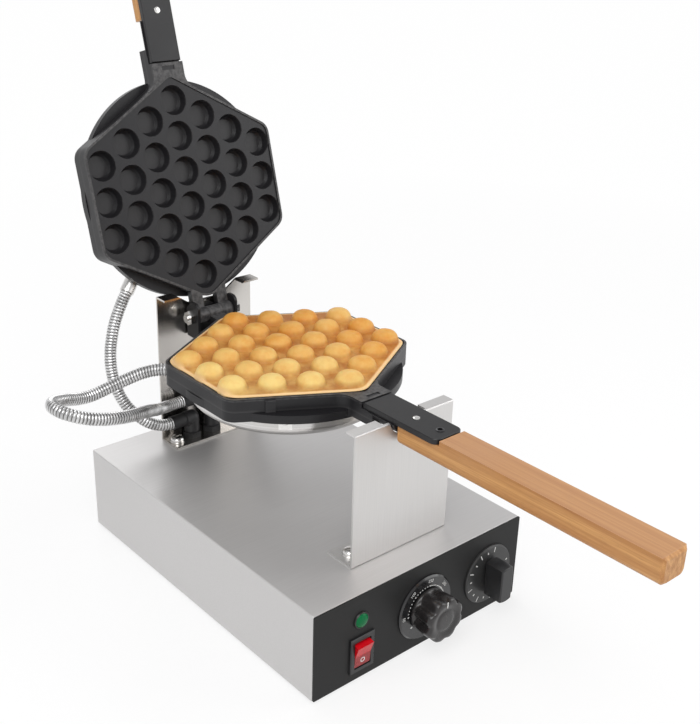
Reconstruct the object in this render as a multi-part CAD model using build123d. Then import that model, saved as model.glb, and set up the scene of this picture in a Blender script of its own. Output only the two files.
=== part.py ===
from build123d import *
import math
import os

# Egg waffle pan: a sheet-steel base box with controls, two folded stands, and a pair of
# cast thirty-cup plates hinged at the back. All sizes in millimetres.
# Origin: the middle of the base's footprint, on the surface that it stands on.
# +X is right as the cook stands, the control panel faces -Y, +Z is up.

# ---------------------------------------------------------------- driving dimensions
# base box
base_width = 250.0
front_margin = 31.5          # front stand's face to the base's front edge
hinge_from_back = 41.0       # hinge pin to the base's back edge
base_height = 86.0
base_sheet = 1.2
base_edge_radius = 2.0
foot_drop = 3.0              # how far the rubber feet lift the box's lower edge
foot_radius = 12.0
foot_inset = 26.0
floor_recess = 3.0           # the bottom plate sits this far up inside the box
return_flange = 14.0
panel_thickness = 1.5
vent_slot_length = 34.0
vent_slot_width = 3.0
vent_slot_pitch = 9.0
vent_slots = 7

# plates, with thirty cups on a triangular lattice
cup_pitch = 34.8
cup_radius = 14.6
cup_wall_radius = 12.5        # where the draughted wall meets the floor's round edge
cup_floor_radius = 10.2
cup_depth = 12.0             # from the parting plane
cup_floor_rise = 2.8         # height of the floor's round edge
cups_per_side = 6            # cups along the two long directions of the lattice
cup_band = 3                 # columns kept on each side of the middle one
face_depth = 1.5             # the cup face lies this far below the rim
rim_width = 2.2
side_margin = 16.6           # outer cup centre to the short flat sides
slope_margin = 22.0          # outer cup centre to the long sloping sides
handle_corner_radius = 9.0
hinge_corner_radius = 21.0
side_corner_radius = 14.0
flange_radius = 108.0
flange_thickness = 8.0
cup_floor = 3.2
heater_recess_radius = 88.0
heater_recess_depth = 6.8
parting_gap = 0.25           # each rim stops this far from the parting plane
lug_width = 9.0
lug_height = 13.0
lug_proud = 2.2
lug_from_corner = 0.3        # along the sloping side from the flat side's corner

# hinge, yoke and pivot
hinge_to_cup = 39.6          # hinge pin to the nearest cup centre
open_angle = 106.0
pin_radius = 4.0
pin_clearance = 0.06
knuckle_radius = 7.5
middle_knuckle = 16.0        # width of the lower plate's single knuckle
outer_knuckle = 12.2         # width of each of the upper plate's two knuckles
side_gap = 0.4
arm_depth = 8.0
ear_thickness = 3.0
ear_front = 9.0
ear_top = 15.0
yoke_bottom = 23.0
yoke_back_gap = 0.8          # knuckle to the yoke's back plate
yoke_back_thickness = 3.0
yoke_back_top = -2.5         # the back plate stops this far below the pin, clear of the open arm
stud_radius = 5.0
stud_clearance = 0.06
bush_wall = 3.0
bush_flange = 2.0
bush_flange_wall = 4.0
axis_above_base = 135.5      # hinge pin and turning axis above the base's top

# heating and covers
cover_radius = 97.0
cover_depth = 20.0
cover_corner = 11.0
cover_sheet = 1.2
heater_ring_radius = 60.0
heater_tube_radius = 3.9
clip_width = 12.0
clip_sheet = 1.2
clip_reach = 8.0
clip_drop = 9.0
clip_screw_inset = 4.8
clip_head_radius = 3.0
clip_angle = 40.0            # first clip, from the handle side towards -X
small_screw_radius = 2.2
hose_gland_angle = 40.0      # hose gland, from the hinge side towards -X
hose_radius = 6.2
sleeve_radius = 7.2
pan_sleeve_length = 15.0
gland_nut_radius = 8.2
gland_nut_length = 6.0

# neck, strap and grip of each plate
journal_radius = 19.0
journal_gap = 0.6            # journal to the stand's notch
neck_width = 35.0
neck_flare = 14.0            # concave corners between the neck and the cup body
neck_step = 6.0              # depth of the strap's seat below the parting plane
strap_width = 33.0
strap_thickness = 5.0
strap_corner = 7.0
strap_from_cups = 37.4       # distances from the last cup's centre along the handle
strap_length = 88.0
strap_seat_gap = 1.2         # strap's end to the end of its seat in the neck
journal_from_cups = 50.4
journal_length = 27.0
grip_from_cups = 78.9
grip_length = 263.5
grip_width = 29.0
grip_depth = 25.0            # parting plane to the grip's outer side
grip_face_gap = 1.0
grip_edge_radius = 7.0
grip_end_chamfer = 2.5
rivet_from_cups = 85.9
strap_screw_from_cups = 113.9
neck_screws_from_cups = (57.4, 69.4)
neck_screw_radius = 2.5
grip_screw_radius = 2.4
grip_screw_length = 16.0

# stands
stand_sheet = 2.0
front_stand_width = 114.0
front_stand_on_journal = 23.5        # journal's start to the stand's front face
front_stand_below_axis = 5.5
front_stand_foot = 32.0
front_stand_flange = 12.0
front_flange_cut = 25.0
rear_stand_width = 114.0
rear_stand_gap = 0.3         # bush to yoke
rear_stand_above_axis = 25.0
rear_stand_foot = 29.0
rear_stand_flange = 16.0
rear_notch_bottom = 11.0     # above the turning axis
rear_notch_half_top = 40.0
rear_notch_half_bottom = 20.0
bolt_radius = 3.0
bolt_head_radius = 7.0
bolt_head_height = 4.5
bolt_head_round = 3.2
bolt_slot = 1.6              # width and depth of the slot in each head
bolt_slot_turn = 35.0        # from the X axis
bolt_nut_radius = 5.7
washer_radius = 7.5
washer_thickness = 1.4
front_bolt_x = 44.0
rear_bolt_x = 48.0

# conduit elbows on the rear stand's foot
elbow_radius = 9.0
elbow_y_from_stand = 10.5
elbow_x = (-28.0, -3.0)
elbow_port_height = (23.0, 44.0)     # port axis above the base's top
elbow_port_reach = (9.0, 20.0)
elbow_sleeve_length = 16.0
elbow_thread_radius = 7.0
elbow_thread_length = 12.0
locknut_radius = 9.6
locknut_thickness = 3.0

# controls, by their height above the box's lower edge
dial_height = 40.0
thermostat_x = 2.0
timer_x = 84.0
thermostat_dial_radius = 32.0
timer_dial_radius = 30.0
dial_thickness = 3.0
knob_gap = 0.6
knob_skirt_radius = 21.0
knob_radius = 20.5
knob_depth = 25.0
knob_lobes = 8
knob_lobe_radius = 7.0
bar_knob_radius = 18.5
bar_knob_foot = 6.5
bar_knob_width = 15.0
bar_knob_depth = 22.0
shaft_radius = 3.0
shaft_hole_radius = 5.0
shaft_clearance = 0.1
lamp_x = -74.0
lamp_height = 61.0
lamp_radius = 8.0
lamp_proud = 4.0
lamp_body_radius = 6.0
lamp_body_length = 24.0
switch_x = -72.5
switch_height = 27.0
switch_width = 27.0
switch_tall = 36.0
switch_bezel = 3.0
switch_wall = 3.0
switch_body_depth = 26.0
rocker_gap = 0.5
rocker_angle = 12.0          # each way from its middle position

# electrical parts inside the base
thermostat_body_radius = 17.0
thermostat_body_depth = 28.0
timer_body_size = (50.0, 46.0, 46.0)
block_size = (72.0, 24.0, 18.0)
cord_gland_x = 84.0
cord_gland_height = 26.0
cord_gland_radius = 11.0
cord_gland_bore = 4.5

# food
waffle_gap = 0.4
bubble_profile = ((1.0, 0.0), (0.9, 0.42), (0.67, 0.82), (0.35, 1.0))   # radius, height

# ---------------------------------------------------------------- derived places
cos30 = math.cos(math.radians(30))
tan30 = math.tan(math.radians(30))
column_pitch = cup_pitch * cos30
half_run = (cups_per_side - 1) / 2 * cup_pitch      # lattice centre to its end cups
pan_centre = -(hinge_to_cup + half_run)             # along Y from the hinge pin
cup_wall_depth = cup_depth - cup_floor_rise
recess_top = cup_depth + cup_floor
casting_depth = recess_top + heater_recess_depth
# distances from the hinge pin along the handle
last_cup = hinge_to_cup + 2 * half_run
strap_start = last_cup + strap_from_cups
strap_end = strap_start + strap_length
journal_start = last_cup + journal_from_cups
journal_end = journal_start + journal_length
grip_start = last_cup + grip_from_cups
grip_end = grip_start + grip_length
rivet_at = last_cup + rivet_from_cups
strap_screw_at = last_cup + strap_screw_from_cups
neck_screws_at = [last_cup + reach for reach in neck_screws_from_cups]
front_stand_reach = journal_start + front_stand_on_journal
# the base reaches past the hinge and the front stand
base_length = hinge_from_back + front_stand_reach + front_margin
front_y = -base_length / 2
back_y = base_length / 2
hinge_y = back_y - hinge_from_back
front_stand_y = hinge_y - front_stand_reach
base_low = foot_drop
base_top = base_low + base_height
axis_z = base_top + axis_above_base
panel_face = front_y - panel_thickness
plate_low = base_low + floor_recess
plate_top = plate_low + base_sheet
back_front = knuckle_radius + yoke_back_gap                  # yoke's back plate, front side
back_rear = back_front + yoke_back_thickness
stand_front = back_rear + rear_stand_gap + bush_flange       # rear stand's front side
stand_rear = stand_front + stand_sheet
yoke_inner = middle_knuckle / 2 + 2 * side_gap + outer_knuckle
yoke_outer = yoke_inner + ear_thickness
elbow_y = hinge_y + stand_front - elbow_y_from_stand


# ---------------------------------------------------------------- small helpers
def slab(sketch, low, high):
    """A sketch on the XY plane pulled from height low to height high."""
    return extrude(Pos(0, 0, low) * sketch, amount=high - low)


def rod(radius, start, end):
    """A round bar from one point to another."""
    line = Vector(*end) - Vector(*start)
    plane = Plane(origin=start, z_dir=line)
    return extrude(plane * Circle(radius), amount=line.length)


def hex_rod(radius, start, end):
    """A hexagonal bar, radius to its flats, from one point to another."""
    line = Vector(*end) - Vector(*start)
    plane = Plane(origin=start, z_dir=line)
    return extrude(plane * RegularPolygon(radius, 6, major_radius=False), amount=line.length)


def block(x, y, z):
    """A box given by its limits along X, Y and Z."""
    middle = ((x[0] + x[1]) / 2, (y[0] + y[1]) / 2, (z[0] + z[1]) / 2)
    return Pos(*middle) * Box(x[1] - x[0], y[1] - y[0], z[1] - z[0])


def solids_of(shapes):
    """One compound of every solid in a list of shapes."""
    found = []
    for shape in shapes:
        found.extend(shape.solids())
    return Compound(children=found)


def at_hinge(shape):
    """From the pan's frame, with its origin on the hinge pin, to the part's frame."""
    return Pos(0, hinge_y, axis_z) * shape


def as_upper(shape):
    """The lower pan's piece as the upper pan's: mirrored over it and swung open."""
    return Rot(-open_angle, 0, 0) * mirror(shape, about=Plane.XY)


def write(name, shape):
    found = shape.solids()
    whole = found[0] if len(found) == 1 else Compound(children=found)
    whole.label = name
    export_step(whole, f"parts/{name}.step")


# ---------------------------------------------------------------- the thirty-cup plate
def cup_places():
    """Cup centres in the pan's frame, a lattice cut to a hexagon."""
    places = []
    for i in range(cups_per_side):
        for j in range(cups_per_side):
            if abs(i - j) <= cup_band:
                x = (i - j) * column_pitch
                y = pan_centre - half_run + (i + j) / 2 * cup_pitch
                places.append((x, y))
    return places


def hexagon(inset):
    """The casting's outline, moved inwards by inset."""
    side_x = cup_band * column_pitch + side_margin - inset
    peak_y = half_run + (slope_margin - inset) / cos30
    corner_y = peak_y - side_x * tan30
    corners = [(0, peak_y), (-side_x, corner_y), (-side_x, -corner_y)]
    corners += [(0, -peak_y), (side_x, -corner_y), (side_x, corner_y)]
    outline = Polygon(*corners, align=None)
    at_hinge_end = outline.vertices().sort_by(Axis.Y)[-1:]
    outline = fillet(at_hinge_end, hinge_corner_radius - inset)
    at_handle_end = outline.vertices().sort_by(Axis.Y)[:1]
    outline = fillet(at_handle_end, handle_corner_radius - inset)
    at_sides = [v for v in outline.vertices() if abs(abs(v.X) - side_x) < 0.01]
    outline = fillet(at_sides, side_corner_radius - inset)
    return Pos(0, pan_centre) * outline


def cup_bowl(gap):
    """What fills one cup below the cup face, all its sides moved inwards by gap."""
    rim = (cup_radius - gap, -face_depth)
    wall = (cup_wall_radius - gap, -cup_wall_depth)
    floor = (cup_floor_radius - gap, -cup_depth + gap)
    edge = Polyline((0, 0), (rim[0], 0), rim, wall, floor, (0, floor[1]), (0, 0))
    return revolve(Plane.XZ * make_face(edge), Axis.Z)


def bubble():
    """The baked, rounded upper half of one waffle cell."""
    reach = cup_radius - waffle_gap
    web = face_depth - waffle_gap
    rise = cup_depth - waffle_gap - web
    points = [(reach * r, web + rise * h) for r, h in bubble_profile]
    edge = Polyline((0, 0), (reach, 0), *points, (0, web + rise), (0, 0))
    return revolve(Plane.XZ * make_face(edge), Axis.Z)


def neck_plan():
    """The neck seen from above, with its concave corners against the cup body."""
    half = neck_width / 2
    root = pan_centre - half_run - cup_radius
    stem = Pos(0, (root - journal_start) / 2) * Rectangle(neck_width, root + journal_start)
    plan = hexagon(0) + stem
    corners = [v for v in plan.vertices() if abs(abs(v.X) - half) < 0.01]
    flared = fillet([v for v in corners if v.Y > -journal_start + 1], neck_flare)
    return flared - hexagon(0)


def neck(body):
    """Add the neck, its strap seat and the half-round journal to a plate casting."""
    sides = slab(neck_plan(), -journal_radius, -parting_gap)
    journal = rod(journal_radius, (0, -journal_end, 0), (0, -journal_start + 6, 0))
    above = block((-40, 40), (-journal_end - 1, 0), (-parting_gap, 60))
    seat_end = -strap_start + strap_seat_gap
    seat = block((-40, 40), (-journal_end - 1, seat_end), (-neck_step, 60))
    body += sides
    body += journal - above
    body -= seat
    mark = block((-7, 7), (seat_end + 3, seat_end + 7), (-parting_gap - 0.6, 0))
    body -= mark
    for y in neck_screws_at:
        body -= rod(neck_screw_radius + 0.1, (0, -y, -journal_radius - 1), (0, -y, 0))
        body -= rod(neck_screw_radius * 2, (0, -y, -journal_radius - 1), (0, -y, -journal_radius + 4))
    return body


def hinge_arm(low_x, high_x):
    """One knuckle and the arm that carries it, before the pin's bore."""
    eye = rod(knuckle_radius, (low_x, 0, 0), (high_x, 0, 0))
    arm = block((low_x, high_x), (-hinge_to_cup + cup_radius - 1, 0), (-arm_depth, -parting_gap))
    return eye + arm


def casting_lug():
    """Raised block on the sloping side nearest the handle and -X."""
    normal_reach = slope_margin + half_run * cos30
    side_x = cup_band * column_pitch + side_margin
    x = side_x * (1 - lug_from_corner)
    y = (normal_reach - x / 2) / cos30
    lug_box = Box(lug_width, 2 * lug_proud, lug_height)
    height = -casting_depth + flange_thickness + lug_height / 2 - 1
    return Pos(-x, pan_centre - y, height) * Rot(0, 0, -30) * lug_box


def plate_casting(knuckles, extras=()):
    """A cast plate: hexagonal cup body, round flange, neck and hinge knuckles."""
    body = slab(hexagon(0), -casting_depth, -parting_gap)
    flange_top = -casting_depth + flange_thickness
    body += slab(Pos(0, pan_centre) * Circle(flange_radius), -casting_depth, flange_top)
    body = neck(body)
    for low_x, high_x in knuckles:
        body += hinge_arm(low_x, high_x)
    for extra in extras:
        body += extra
    body -= slab(hexagon(rim_width), -face_depth, 1)
    body -= slab(Pos(0, pan_centre) * Circle(heater_recess_radius), -casting_depth - 1, -recess_top)
    bowl = cup_bowl(0)
    cutters = [Pos(x, y, 0) * bowl for x, y in cup_places()]
    body -= cutters
    body -= rod(pin_radius + pin_clearance, (-60, 0, 0), (60, 0, 0))
    return body


# ---------------------------------------------------------------- what each pan carries
def polar(radius, angle, height, from_hinge):
    """A point round the pan's middle, its angle from the hinge or handle side to -X."""
    turn = math.radians(angle)
    along = math.cos(turn) if from_hinge else -math.cos(turn)
    return (-radius * math.sin(turn), pan_centre + radius * along, height)


def heater_ring():
    """Tubular heating element: an open ring with two tails."""
    ring_z = -casting_depth + heater_tube_radius - 1.0
    middle = Vector(0, pan_centre, ring_z)
    path = CenterArc(middle, heater_ring_radius, 105, 330)
    start = path @ 0
    profile = Plane(origin=start, z_dir=path % 0) * Circle(heater_tube_radius)
    ring = sweep(profile, path=path)
    for end in (path @ 0, path @ 1):
        inwards = Vector(middle.X - end.X, middle.Y - end.Y, 0).normalized()
        tail = end + inwards * 22
        ring += rod(heater_tube_radius, tuple(end), tuple(tail))
    return ring


def heater_cover():
    """Round dish that closes the heater side of a plate."""
    top = -casting_depth - 0.15
    bottom = top - cover_depth
    outer = slab(Circle(cover_radius), bottom, top)
    outer = fillet(outer.faces().sort_by(Axis.Z)[0].edges(), cover_corner)
    inner = slab(Circle(cover_radius - cover_sheet), bottom + cover_sheet, top)
    inner = fillet(inner.faces().sort_by(Axis.Z)[0].edges(), cover_corner - cover_sheet)
    dish = Pos(0, pan_centre) * (outer - inner)
    wall_in = polar(cover_radius - 8, hose_gland_angle, gland_height(), True)
    wall_out = polar(cover_radius + 8, hose_gland_angle, gland_height(), True)
    return dish - rod(sleeve_radius - 2 + 0.1, wall_in, wall_out)


def gland_height():
    return -casting_depth - 0.6 - gland_nut_radius


def insulation_pad():
    """Ceramic-fibre disc that presses the heater against the plate."""
    top = -casting_depth - 1.3
    bottom = -casting_depth - 0.15 - cover_depth + cover_sheet + 0.15
    disc = slab(Circle(cover_radius - cover_sheet - cover_corner), bottom, top)
    return Pos(0, pan_centre) * disc


def cover_clips():
    """Four bent tabs on the flange that hold the cover's band."""
    clips, screws = [], []
    for quarter in range(4):
        turn = Rot(0, 0, -clip_angle - 90 * quarter)
        low = -casting_depth - clip_sheet - 0.1
        half = clip_width / 2
        reach = -cover_radius - 0.2
        foot = block((-half, half), (reach - clip_reach, reach), (low, low + clip_sheet))
        leg = block((-half, half), (reach - clip_sheet, reach), (low - clip_drop, low + clip_sheet))
        middle = reach - clip_screw_inset
        hole = rod(small_screw_radius + 0.1, (0, middle, low - 1), (0, middle, low + 3))
        clips.append(Pos(0, pan_centre) * turn * (foot + leg - hole))
        head = rod(clip_head_radius, (0, middle, low - 2.0), (0, middle, low - 0.05))
        shank = rod(small_screw_radius, (0, middle, low - 0.5), (0, middle, low + clip_sheet + 0.05))
        screws.append(Pos(0, pan_centre) * turn * (head + shank))
    return solids_of(clips), solids_of(screws)


def pan_gland():
    """Conduit gland on the cover's band: spigot, hexagon and smooth sleeve."""
    height = gland_height()
    inside = polar(cover_radius - 6, hose_gland_angle, height, True)
    seat = polar(cover_radius + 0.3, hose_gland_angle, height, True)
    nut_end = polar(cover_radius + 0.3 + gland_nut_length, hose_gland_angle, height, True)
    mouth = polar(cover_radius + gland_nut_length + pan_sleeve_length, hose_gland_angle, height, True)
    spigot = rod(sleeve_radius - 2, inside, seat)
    return spigot + hex_rod(gland_nut_radius, seat, nut_end) + rod(sleeve_radius, nut_end, mouth)


def handle_strap():
    """Flat steel strap between neck and grip, with rounded outer corners."""
    low = -neck_step + 0.1
    outline = Pos(0, -(strap_start + strap_end) / 2) * Rectangle(strap_width, strap_end - strap_start)
    outer = outline.vertices().group_by(Axis.Y)[0]
    outline = fillet(outer, strap_corner)
    strap = slab(outline, low, low + strap_thickness)
    strap = chamfer(strap.faces().sort_by(Axis.Z)[-1].edges(), 0.6)
    for y in neck_screws_at:
        strap -= rod(neck_screw_radius + 0.1, (0, -y, -neck_step - 1), (0, -y, -neck_step + 3.5))
    for y in (rivet_at, strap_screw_at):
        strap -= rod(grip_screw_radius + 0.1, (0, -y, -neck_step - 1), (0, -y, 1))
    return strap


def handle_grip():
    """Half of the wooden handle: flat parting face, rebated for the strap."""
    half = grip_width / 2
    grip = block((-half, half), (-grip_end, -grip_start), (-grip_depth, -grip_face_gap))
    long_edges = grip.edges().filter_by(Axis.Y).group_by(Axis.Z)[0]
    grip = fillet(long_edges, grip_edge_radius)
    far_end = grip.faces().sort_by(Axis.Y)[0]
    grip = chamfer(far_end.edges(), grip_end_chamfer)
    rebate_end = -strap_end - 2.0
    grip -= block((-half - 1, half + 1), (rebate_end, -grip_start + 1), (-neck_step, 1))
    for y in (rivet_at, strap_screw_at):
        hole_end = -neck_step - grip_screw_length - 0.2
        grip -= rod(grip_screw_radius + 0.05, (0, -y, hole_end), (0, -y, 1))
    return grip


def dome_screw(y, head_height):
    """Round-headed fastener through the strap into the wood."""
    top = -neck_step + 0.1 + strap_thickness
    shank = rod(grip_screw_radius, (0, -y, -neck_step - grip_screw_length), (0, -y, top + 0.1))
    head = rod(grip_screw_radius * 1.8, (0, -y, top + 0.05), (0, -y, top + head_height))
    head = fillet(head.edges().group_by(Axis.Z)[-1], head_height * 0.6)
    return shank + head


def neck_screws():
    screws = []
    for y in neck_screws_at:
        shank = rod(neck_screw_radius, (0, -y, -journal_radius + 3), (0, -y, -neck_step + 3.3))
        head = rod(neck_screw_radius * 1.8, (0, -y, -journal_radius + 1.2), (0, -y, -journal_radius + 3.9))
        screws.append(shank + head)
    return solids_of(screws)


# ---------------------------------------------------------------- hinge
def yoke():
    """U-shaped bracket whose ears hold the hinge pin; its stud turns in the rear stand."""
    profile = Pos((back_rear - ear_front) / 2, (ear_top - yoke_bottom) / 2) * Rectangle(
        back_rear + ear_front, ear_top + yoke_bottom)
    profile = fillet(profile.vertices().group_by(Axis.X)[0], 6.0)
    rear_top = profile.vertices().group_by(Axis.X)[-1].sort_by(Axis.Y)[-1]
    profile = chamfer(rear_top, 8.0)
    ear_plane = Plane(origin=(yoke_inner, 0, 0), x_dir=(0, 1, 0), z_dir=(1, 0, 0))
    right = extrude(ear_plane * profile, amount=ear_thickness)
    left = mirror(right, about=Plane.YZ)
    back = block((-yoke_outer, yoke_outer), (back_front, back_rear), (-yoke_bottom, yoke_back_top))
    floor = block((-yoke_outer, yoke_outer), (-2.0, back_rear), (-yoke_bottom, -yoke_bottom + ear_thickness))
    boss = block((-middle_knuckle / 2 + 1, middle_knuckle / 2 - 1), (back_front, back_rear), (-6, 6))
    body = right + left + back + floor + boss
    body += rod(stud_radius, (0, back_front, 0), (0, stand_rear + 12, 0))
    body -= rod(pin_radius + pin_clearance, (-60, 0, 0), (60, 0, 0))
    return body


def hinge_pin():
    shank = rod(pin_radius, (-yoke_outer - 9.0, 0, 0), (yoke_outer + 0.3, 0, 0))
    head = hex_rod(6.5, (yoke_outer + 0.2, 0, 0), (yoke_outer + 5.2, 0, 0))
    return shank + head


def hinge_nut():
    nut = hex_rod(6.5, (-yoke_outer - 6.4, 0, 0), (-yoke_outer - 0.2, 0, 0))
    return nut - rod(pin_radius + 0.02, (-60, 0, 0), (0, 0, 0))


def pivot_bush():
    """Flanged bush in the rear stand that carries the yoke's stud."""
    sleeve = rod(stud_radius + bush_wall, (0, stand_front - 0.1, 0), (0, stand_rear + 0.6, 0))
    flange = rod(stud_radius + bush_flange_wall, (0, stand_front - bush_flange, 0), (0, stand_front, 0))
    return sleeve + flange - rod(stud_radius + stud_clearance, (0, 0, 0), (0, 60, 0))


def pivot_washer():
    start = stand_rear + 0.9
    ring = rod(washer_radius + 2, (0, start, 0), (0, start + washer_thickness, 0))
    return ring - rod(stud_radius + 0.05, (0, 0, 0), (0, 60, 0))


def pivot_nut():
    start = stand_rear + 0.9 + washer_thickness + 0.05
    nut = hex_rod(8.0, (0, start, 0), (0, start + 7.5, 0))
    return nut - rod(stud_radius + 0.02, (0, 0, 0), (0, 60, 0))


# ---------------------------------------------------------------- waffle
def waffle():
    """The baked waffle in its cups: a thin web and thirty round cells."""
    web_half = face_depth - waffle_gap
    body = slab(hexagon(rim_width + waffle_gap), -web_half, web_half)
    cell = bubble() + cup_bowl(waffle_gap)
    cells = [Pos(x, y, 0) * cell for x, y in cup_places()]
    body += cells
    return body


# ---------------------------------------------------------------- base
def panel_cuts():
    """Holes through the front wall and the control panel."""
    low, high = panel_face - 5, front_y + 10
    cuts = []
    for x in (thermostat_x, timer_x):
        z = base_low + dial_height
        cuts.append(rod(shaft_hole_radius, (x, low, z), (x, high, z)))
    lamp_z = base_low + lamp_height
    cuts.append(rod(lamp_body_radius + 0.3, (lamp_x, low, lamp_z), (lamp_x, high, lamp_z)))
    half_x = switch_width / 2 - switch_bezel + 0.2
    half_z = switch_tall / 2 - switch_bezel + 0.2
    z = base_low + switch_height
    cuts.append(block((switch_x - half_x, switch_x + half_x), (low, high), (z - half_z, z + half_z)))
    return cuts


def stand_bolt_places():
    """X, Y and the top of the foot for each bolt through the base's top."""
    front = front_stand_y + stand_sheet + (front_stand_foot - stand_sheet) / 2
    rear = hinge_y + stand_front - (rear_stand_foot - stand_sheet) / 2
    return [(-front_bolt_x, front), (front_bolt_x, front), (-rear_bolt_x, rear), (rear_bolt_x, rear)]


def base_housing():
    """Folded five-sided box with inward flanges along its lower edges."""
    half_x = base_width / 2
    outer = block((-half_x, half_x), (front_y, back_y), (base_low, base_top))
    outer = fillet(outer.edges().filter_by(Axis.Z), base_edge_radius)
    outer = fillet(outer.faces().sort_by(Axis.Z)[-1].edges(), base_edge_radius * 0.7)
    t = base_sheet
    room = block((-half_x + t, half_x - t), (front_y + t, back_y - t), (base_low - 1, base_top - t))
    shell = outer - room
    flange_low = plate_top + 0.1
    for side in (-1, 1):
        inner = side * (half_x - return_flange)
        edge = side * (half_x - t / 2)
        along = (front_y + t / 2, back_y - t / 2)
        shell += block(sorted((inner, edge)), along, (flange_low, flange_low + t))
    for cut in panel_cuts():
        shell -= cut
    for x, y in stand_bolt_places():
        shell -= rod(bolt_radius + 0.2, (x, y, base_top - 5), (x, y, base_top + 5))
    for x in elbow_x:
        shell -= rod(elbow_thread_radius + 0.2, (x, elbow_y, base_top - 5), (x, elbow_y, base_top + 5))
    gland_z = base_low + cord_gland_height
    gland_in = (cord_gland_x, back_y - 5, gland_z)
    gland_out = (cord_gland_x, back_y + 5, gland_z)
    shell -= rod(cord_gland_radius - 2 + 0.2, gland_in, gland_out)
    for x, y in bottom_screw_places():
        shell -= rod(small_screw_radius + 0.1, (x, y, flange_low - 1), (x, y, flange_low + 4))
    return shell


def bottom_screw_places():
    x = base_width / 2 - return_flange / 2 - base_sheet
    return [(-x, -120), (x, -120), (-x, 120), (x, 120)]


def foot_places():
    x = base_width / 2 - foot_inset
    y = base_length / 2 - foot_inset
    return [(-x, -y), (x, -y), (-x, y), (x, y)]


def bottom_plate():
    """Flat bottom plate with two rows of vent slots."""
    half_x = base_width / 2 - base_sheet - 0.4
    half_y = base_length / 2 - base_sheet - 0.4
    plate = block((-half_x, half_x), (-half_y, half_y), (plate_low, plate_top))
    for row in (-1, 1):
        for i in range(vent_slots):
            y = (i - (vent_slots - 1) / 2) * vent_slot_pitch
            slot = Pos(row * 45, y) * SlotOverall(vent_slot_length, vent_slot_width)
            plate -= slab(slot, plate_low - 1, plate_top + 1)
    for x, y in bottom_screw_places():
        plate -= rod(small_screw_radius + 0.1, (x, y, plate_low - 1), (x, y, plate_top + 1))
    return plate


def bottom_screws():
    screws = []
    for x, y in bottom_screw_places():
        shank = rod(small_screw_radius, (x, y, plate_low - 0.5), (x, y, plate_top + 4))
        head = rod(small_screw_radius * 1.8, (x, y, plate_low - 2.0), (x, y, plate_low - 0.05))
        screws.append(shank + head)
    return solids_of(screws)


def rubber_feet():
    feet = []
    for x, y in foot_places():
        foot = rod(foot_radius, (x, y, 0), (x, y, plate_low))
        feet.append(chamfer(foot.edges().group_by(Axis.Z)[0], 1.0))
    return solids_of(feet)


def control_panel():
    """Black front plate over the box's whole front wall."""
    half_x = base_width / 2
    plate = block((-half_x, half_x), (panel_face, front_y), (base_low, base_top))
    plate = fillet(plate.edges().filter_by(Axis.Y), base_edge_radius * 0.7)
    for cut in panel_cuts():
        plate -= cut
    return plate


# ---------------------------------------------------------------- stands
def front_stand():
    """Folded plate with a U-notch for the journal, and flanges at top and foot."""
    half = front_stand_width / 2
    top = axis_z - front_stand_below_axis
    rear = front_stand_y + stand_sheet
    upright = block((-half, half), (front_stand_y, rear), (base_top, top))
    foot_end = front_stand_y + front_stand_foot
    foot = block((-half, half), (front_stand_y, foot_end), (base_top, base_top + stand_sheet))
    flange_end = front_stand_y + front_stand_flange
    flange = block((-half, half), (front_stand_y, flange_end), (top - stand_sheet, top))
    stand = upright + foot + flange
    folds = stand.edges().filter_by(Axis.X)
    folds = folds.filter_by_position(Axis.Y, front_stand_y - 0.1, front_stand_y + 0.1)
    stand = fillet(folds, stand_sheet * 0.9)
    radius = journal_radius + journal_gap
    low, high = front_stand_y - 1, front_stand_y + front_stand_flange + 1
    stand -= rod(radius, (0, low, axis_z), (0, high, axis_z))
    stand -= block((-radius, radius), (low, high), (axis_z, axis_z + 30))
    flange_span = (top - stand_sheet - 0.1, top + 1)
    stand -= block((-front_flange_cut, front_flange_cut), (rear + 0.5, high), flange_span)
    for x, y in stand_bolt_places()[:2]:
        stand -= rod(bolt_radius + 0.2, (x, y, base_top - 1), (x, y, base_top + 5))
    return stand


def rear_stand():
    """Folded plate that carries the yoke, notched so that the open pan can lean back."""
    half = rear_stand_width / 2
    top = axis_z + rear_stand_above_axis
    front = hinge_y + stand_front
    rear = hinge_y + stand_rear
    upright = block((-half, half), (front, rear), (base_top, top))
    foot = block((-half, half), (rear - rear_stand_foot, rear), (base_top, base_top + stand_sheet))
    flange = block((-half, half), (rear - rear_stand_flange, rear), (top - stand_sheet, top))
    stand = upright + foot + flange
    stand = fillet(stand.edges().filter_by(Axis.X).filter_by_position(Axis.Y, rear - 0.1, rear + 0.1),
                   stand_sheet * 0.9)
    notch_low = axis_z + rear_notch_bottom
    notch = [(-rear_notch_half_top, top), (-rear_notch_half_bottom, notch_low)]
    notch += [(rear_notch_half_bottom, notch_low), (rear_notch_half_top, top)]
    notch += [(rear_notch_half_top, top + 5), (-rear_notch_half_top, top + 5)]
    opening = Polygon(*notch, align=None)
    opening = fillet(opening.vertices().group_by(Axis.Y)[0], 5.0)
    stand -= extrude(Plane(origin=(0, rear + 1, 0), x_dir=(1, 0, 0), z_dir=(0, -1, 0)) * opening, amount=30)
    stand -= rod(stud_radius + bush_wall + 0.02, (0, front - 1, axis_z), (0, rear + 1, axis_z))
    for x, y in stand_bolt_places()[2:]:
        stand -= rod(bolt_radius + 0.2, (x, y, base_top - 1), (x, y, base_top + 5))
    for x in elbow_x:
        stand -= rod(elbow_thread_radius + 0.2, (x, elbow_y, base_top - 1), (x, elbow_y, base_top + 5))
    return stand


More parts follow.
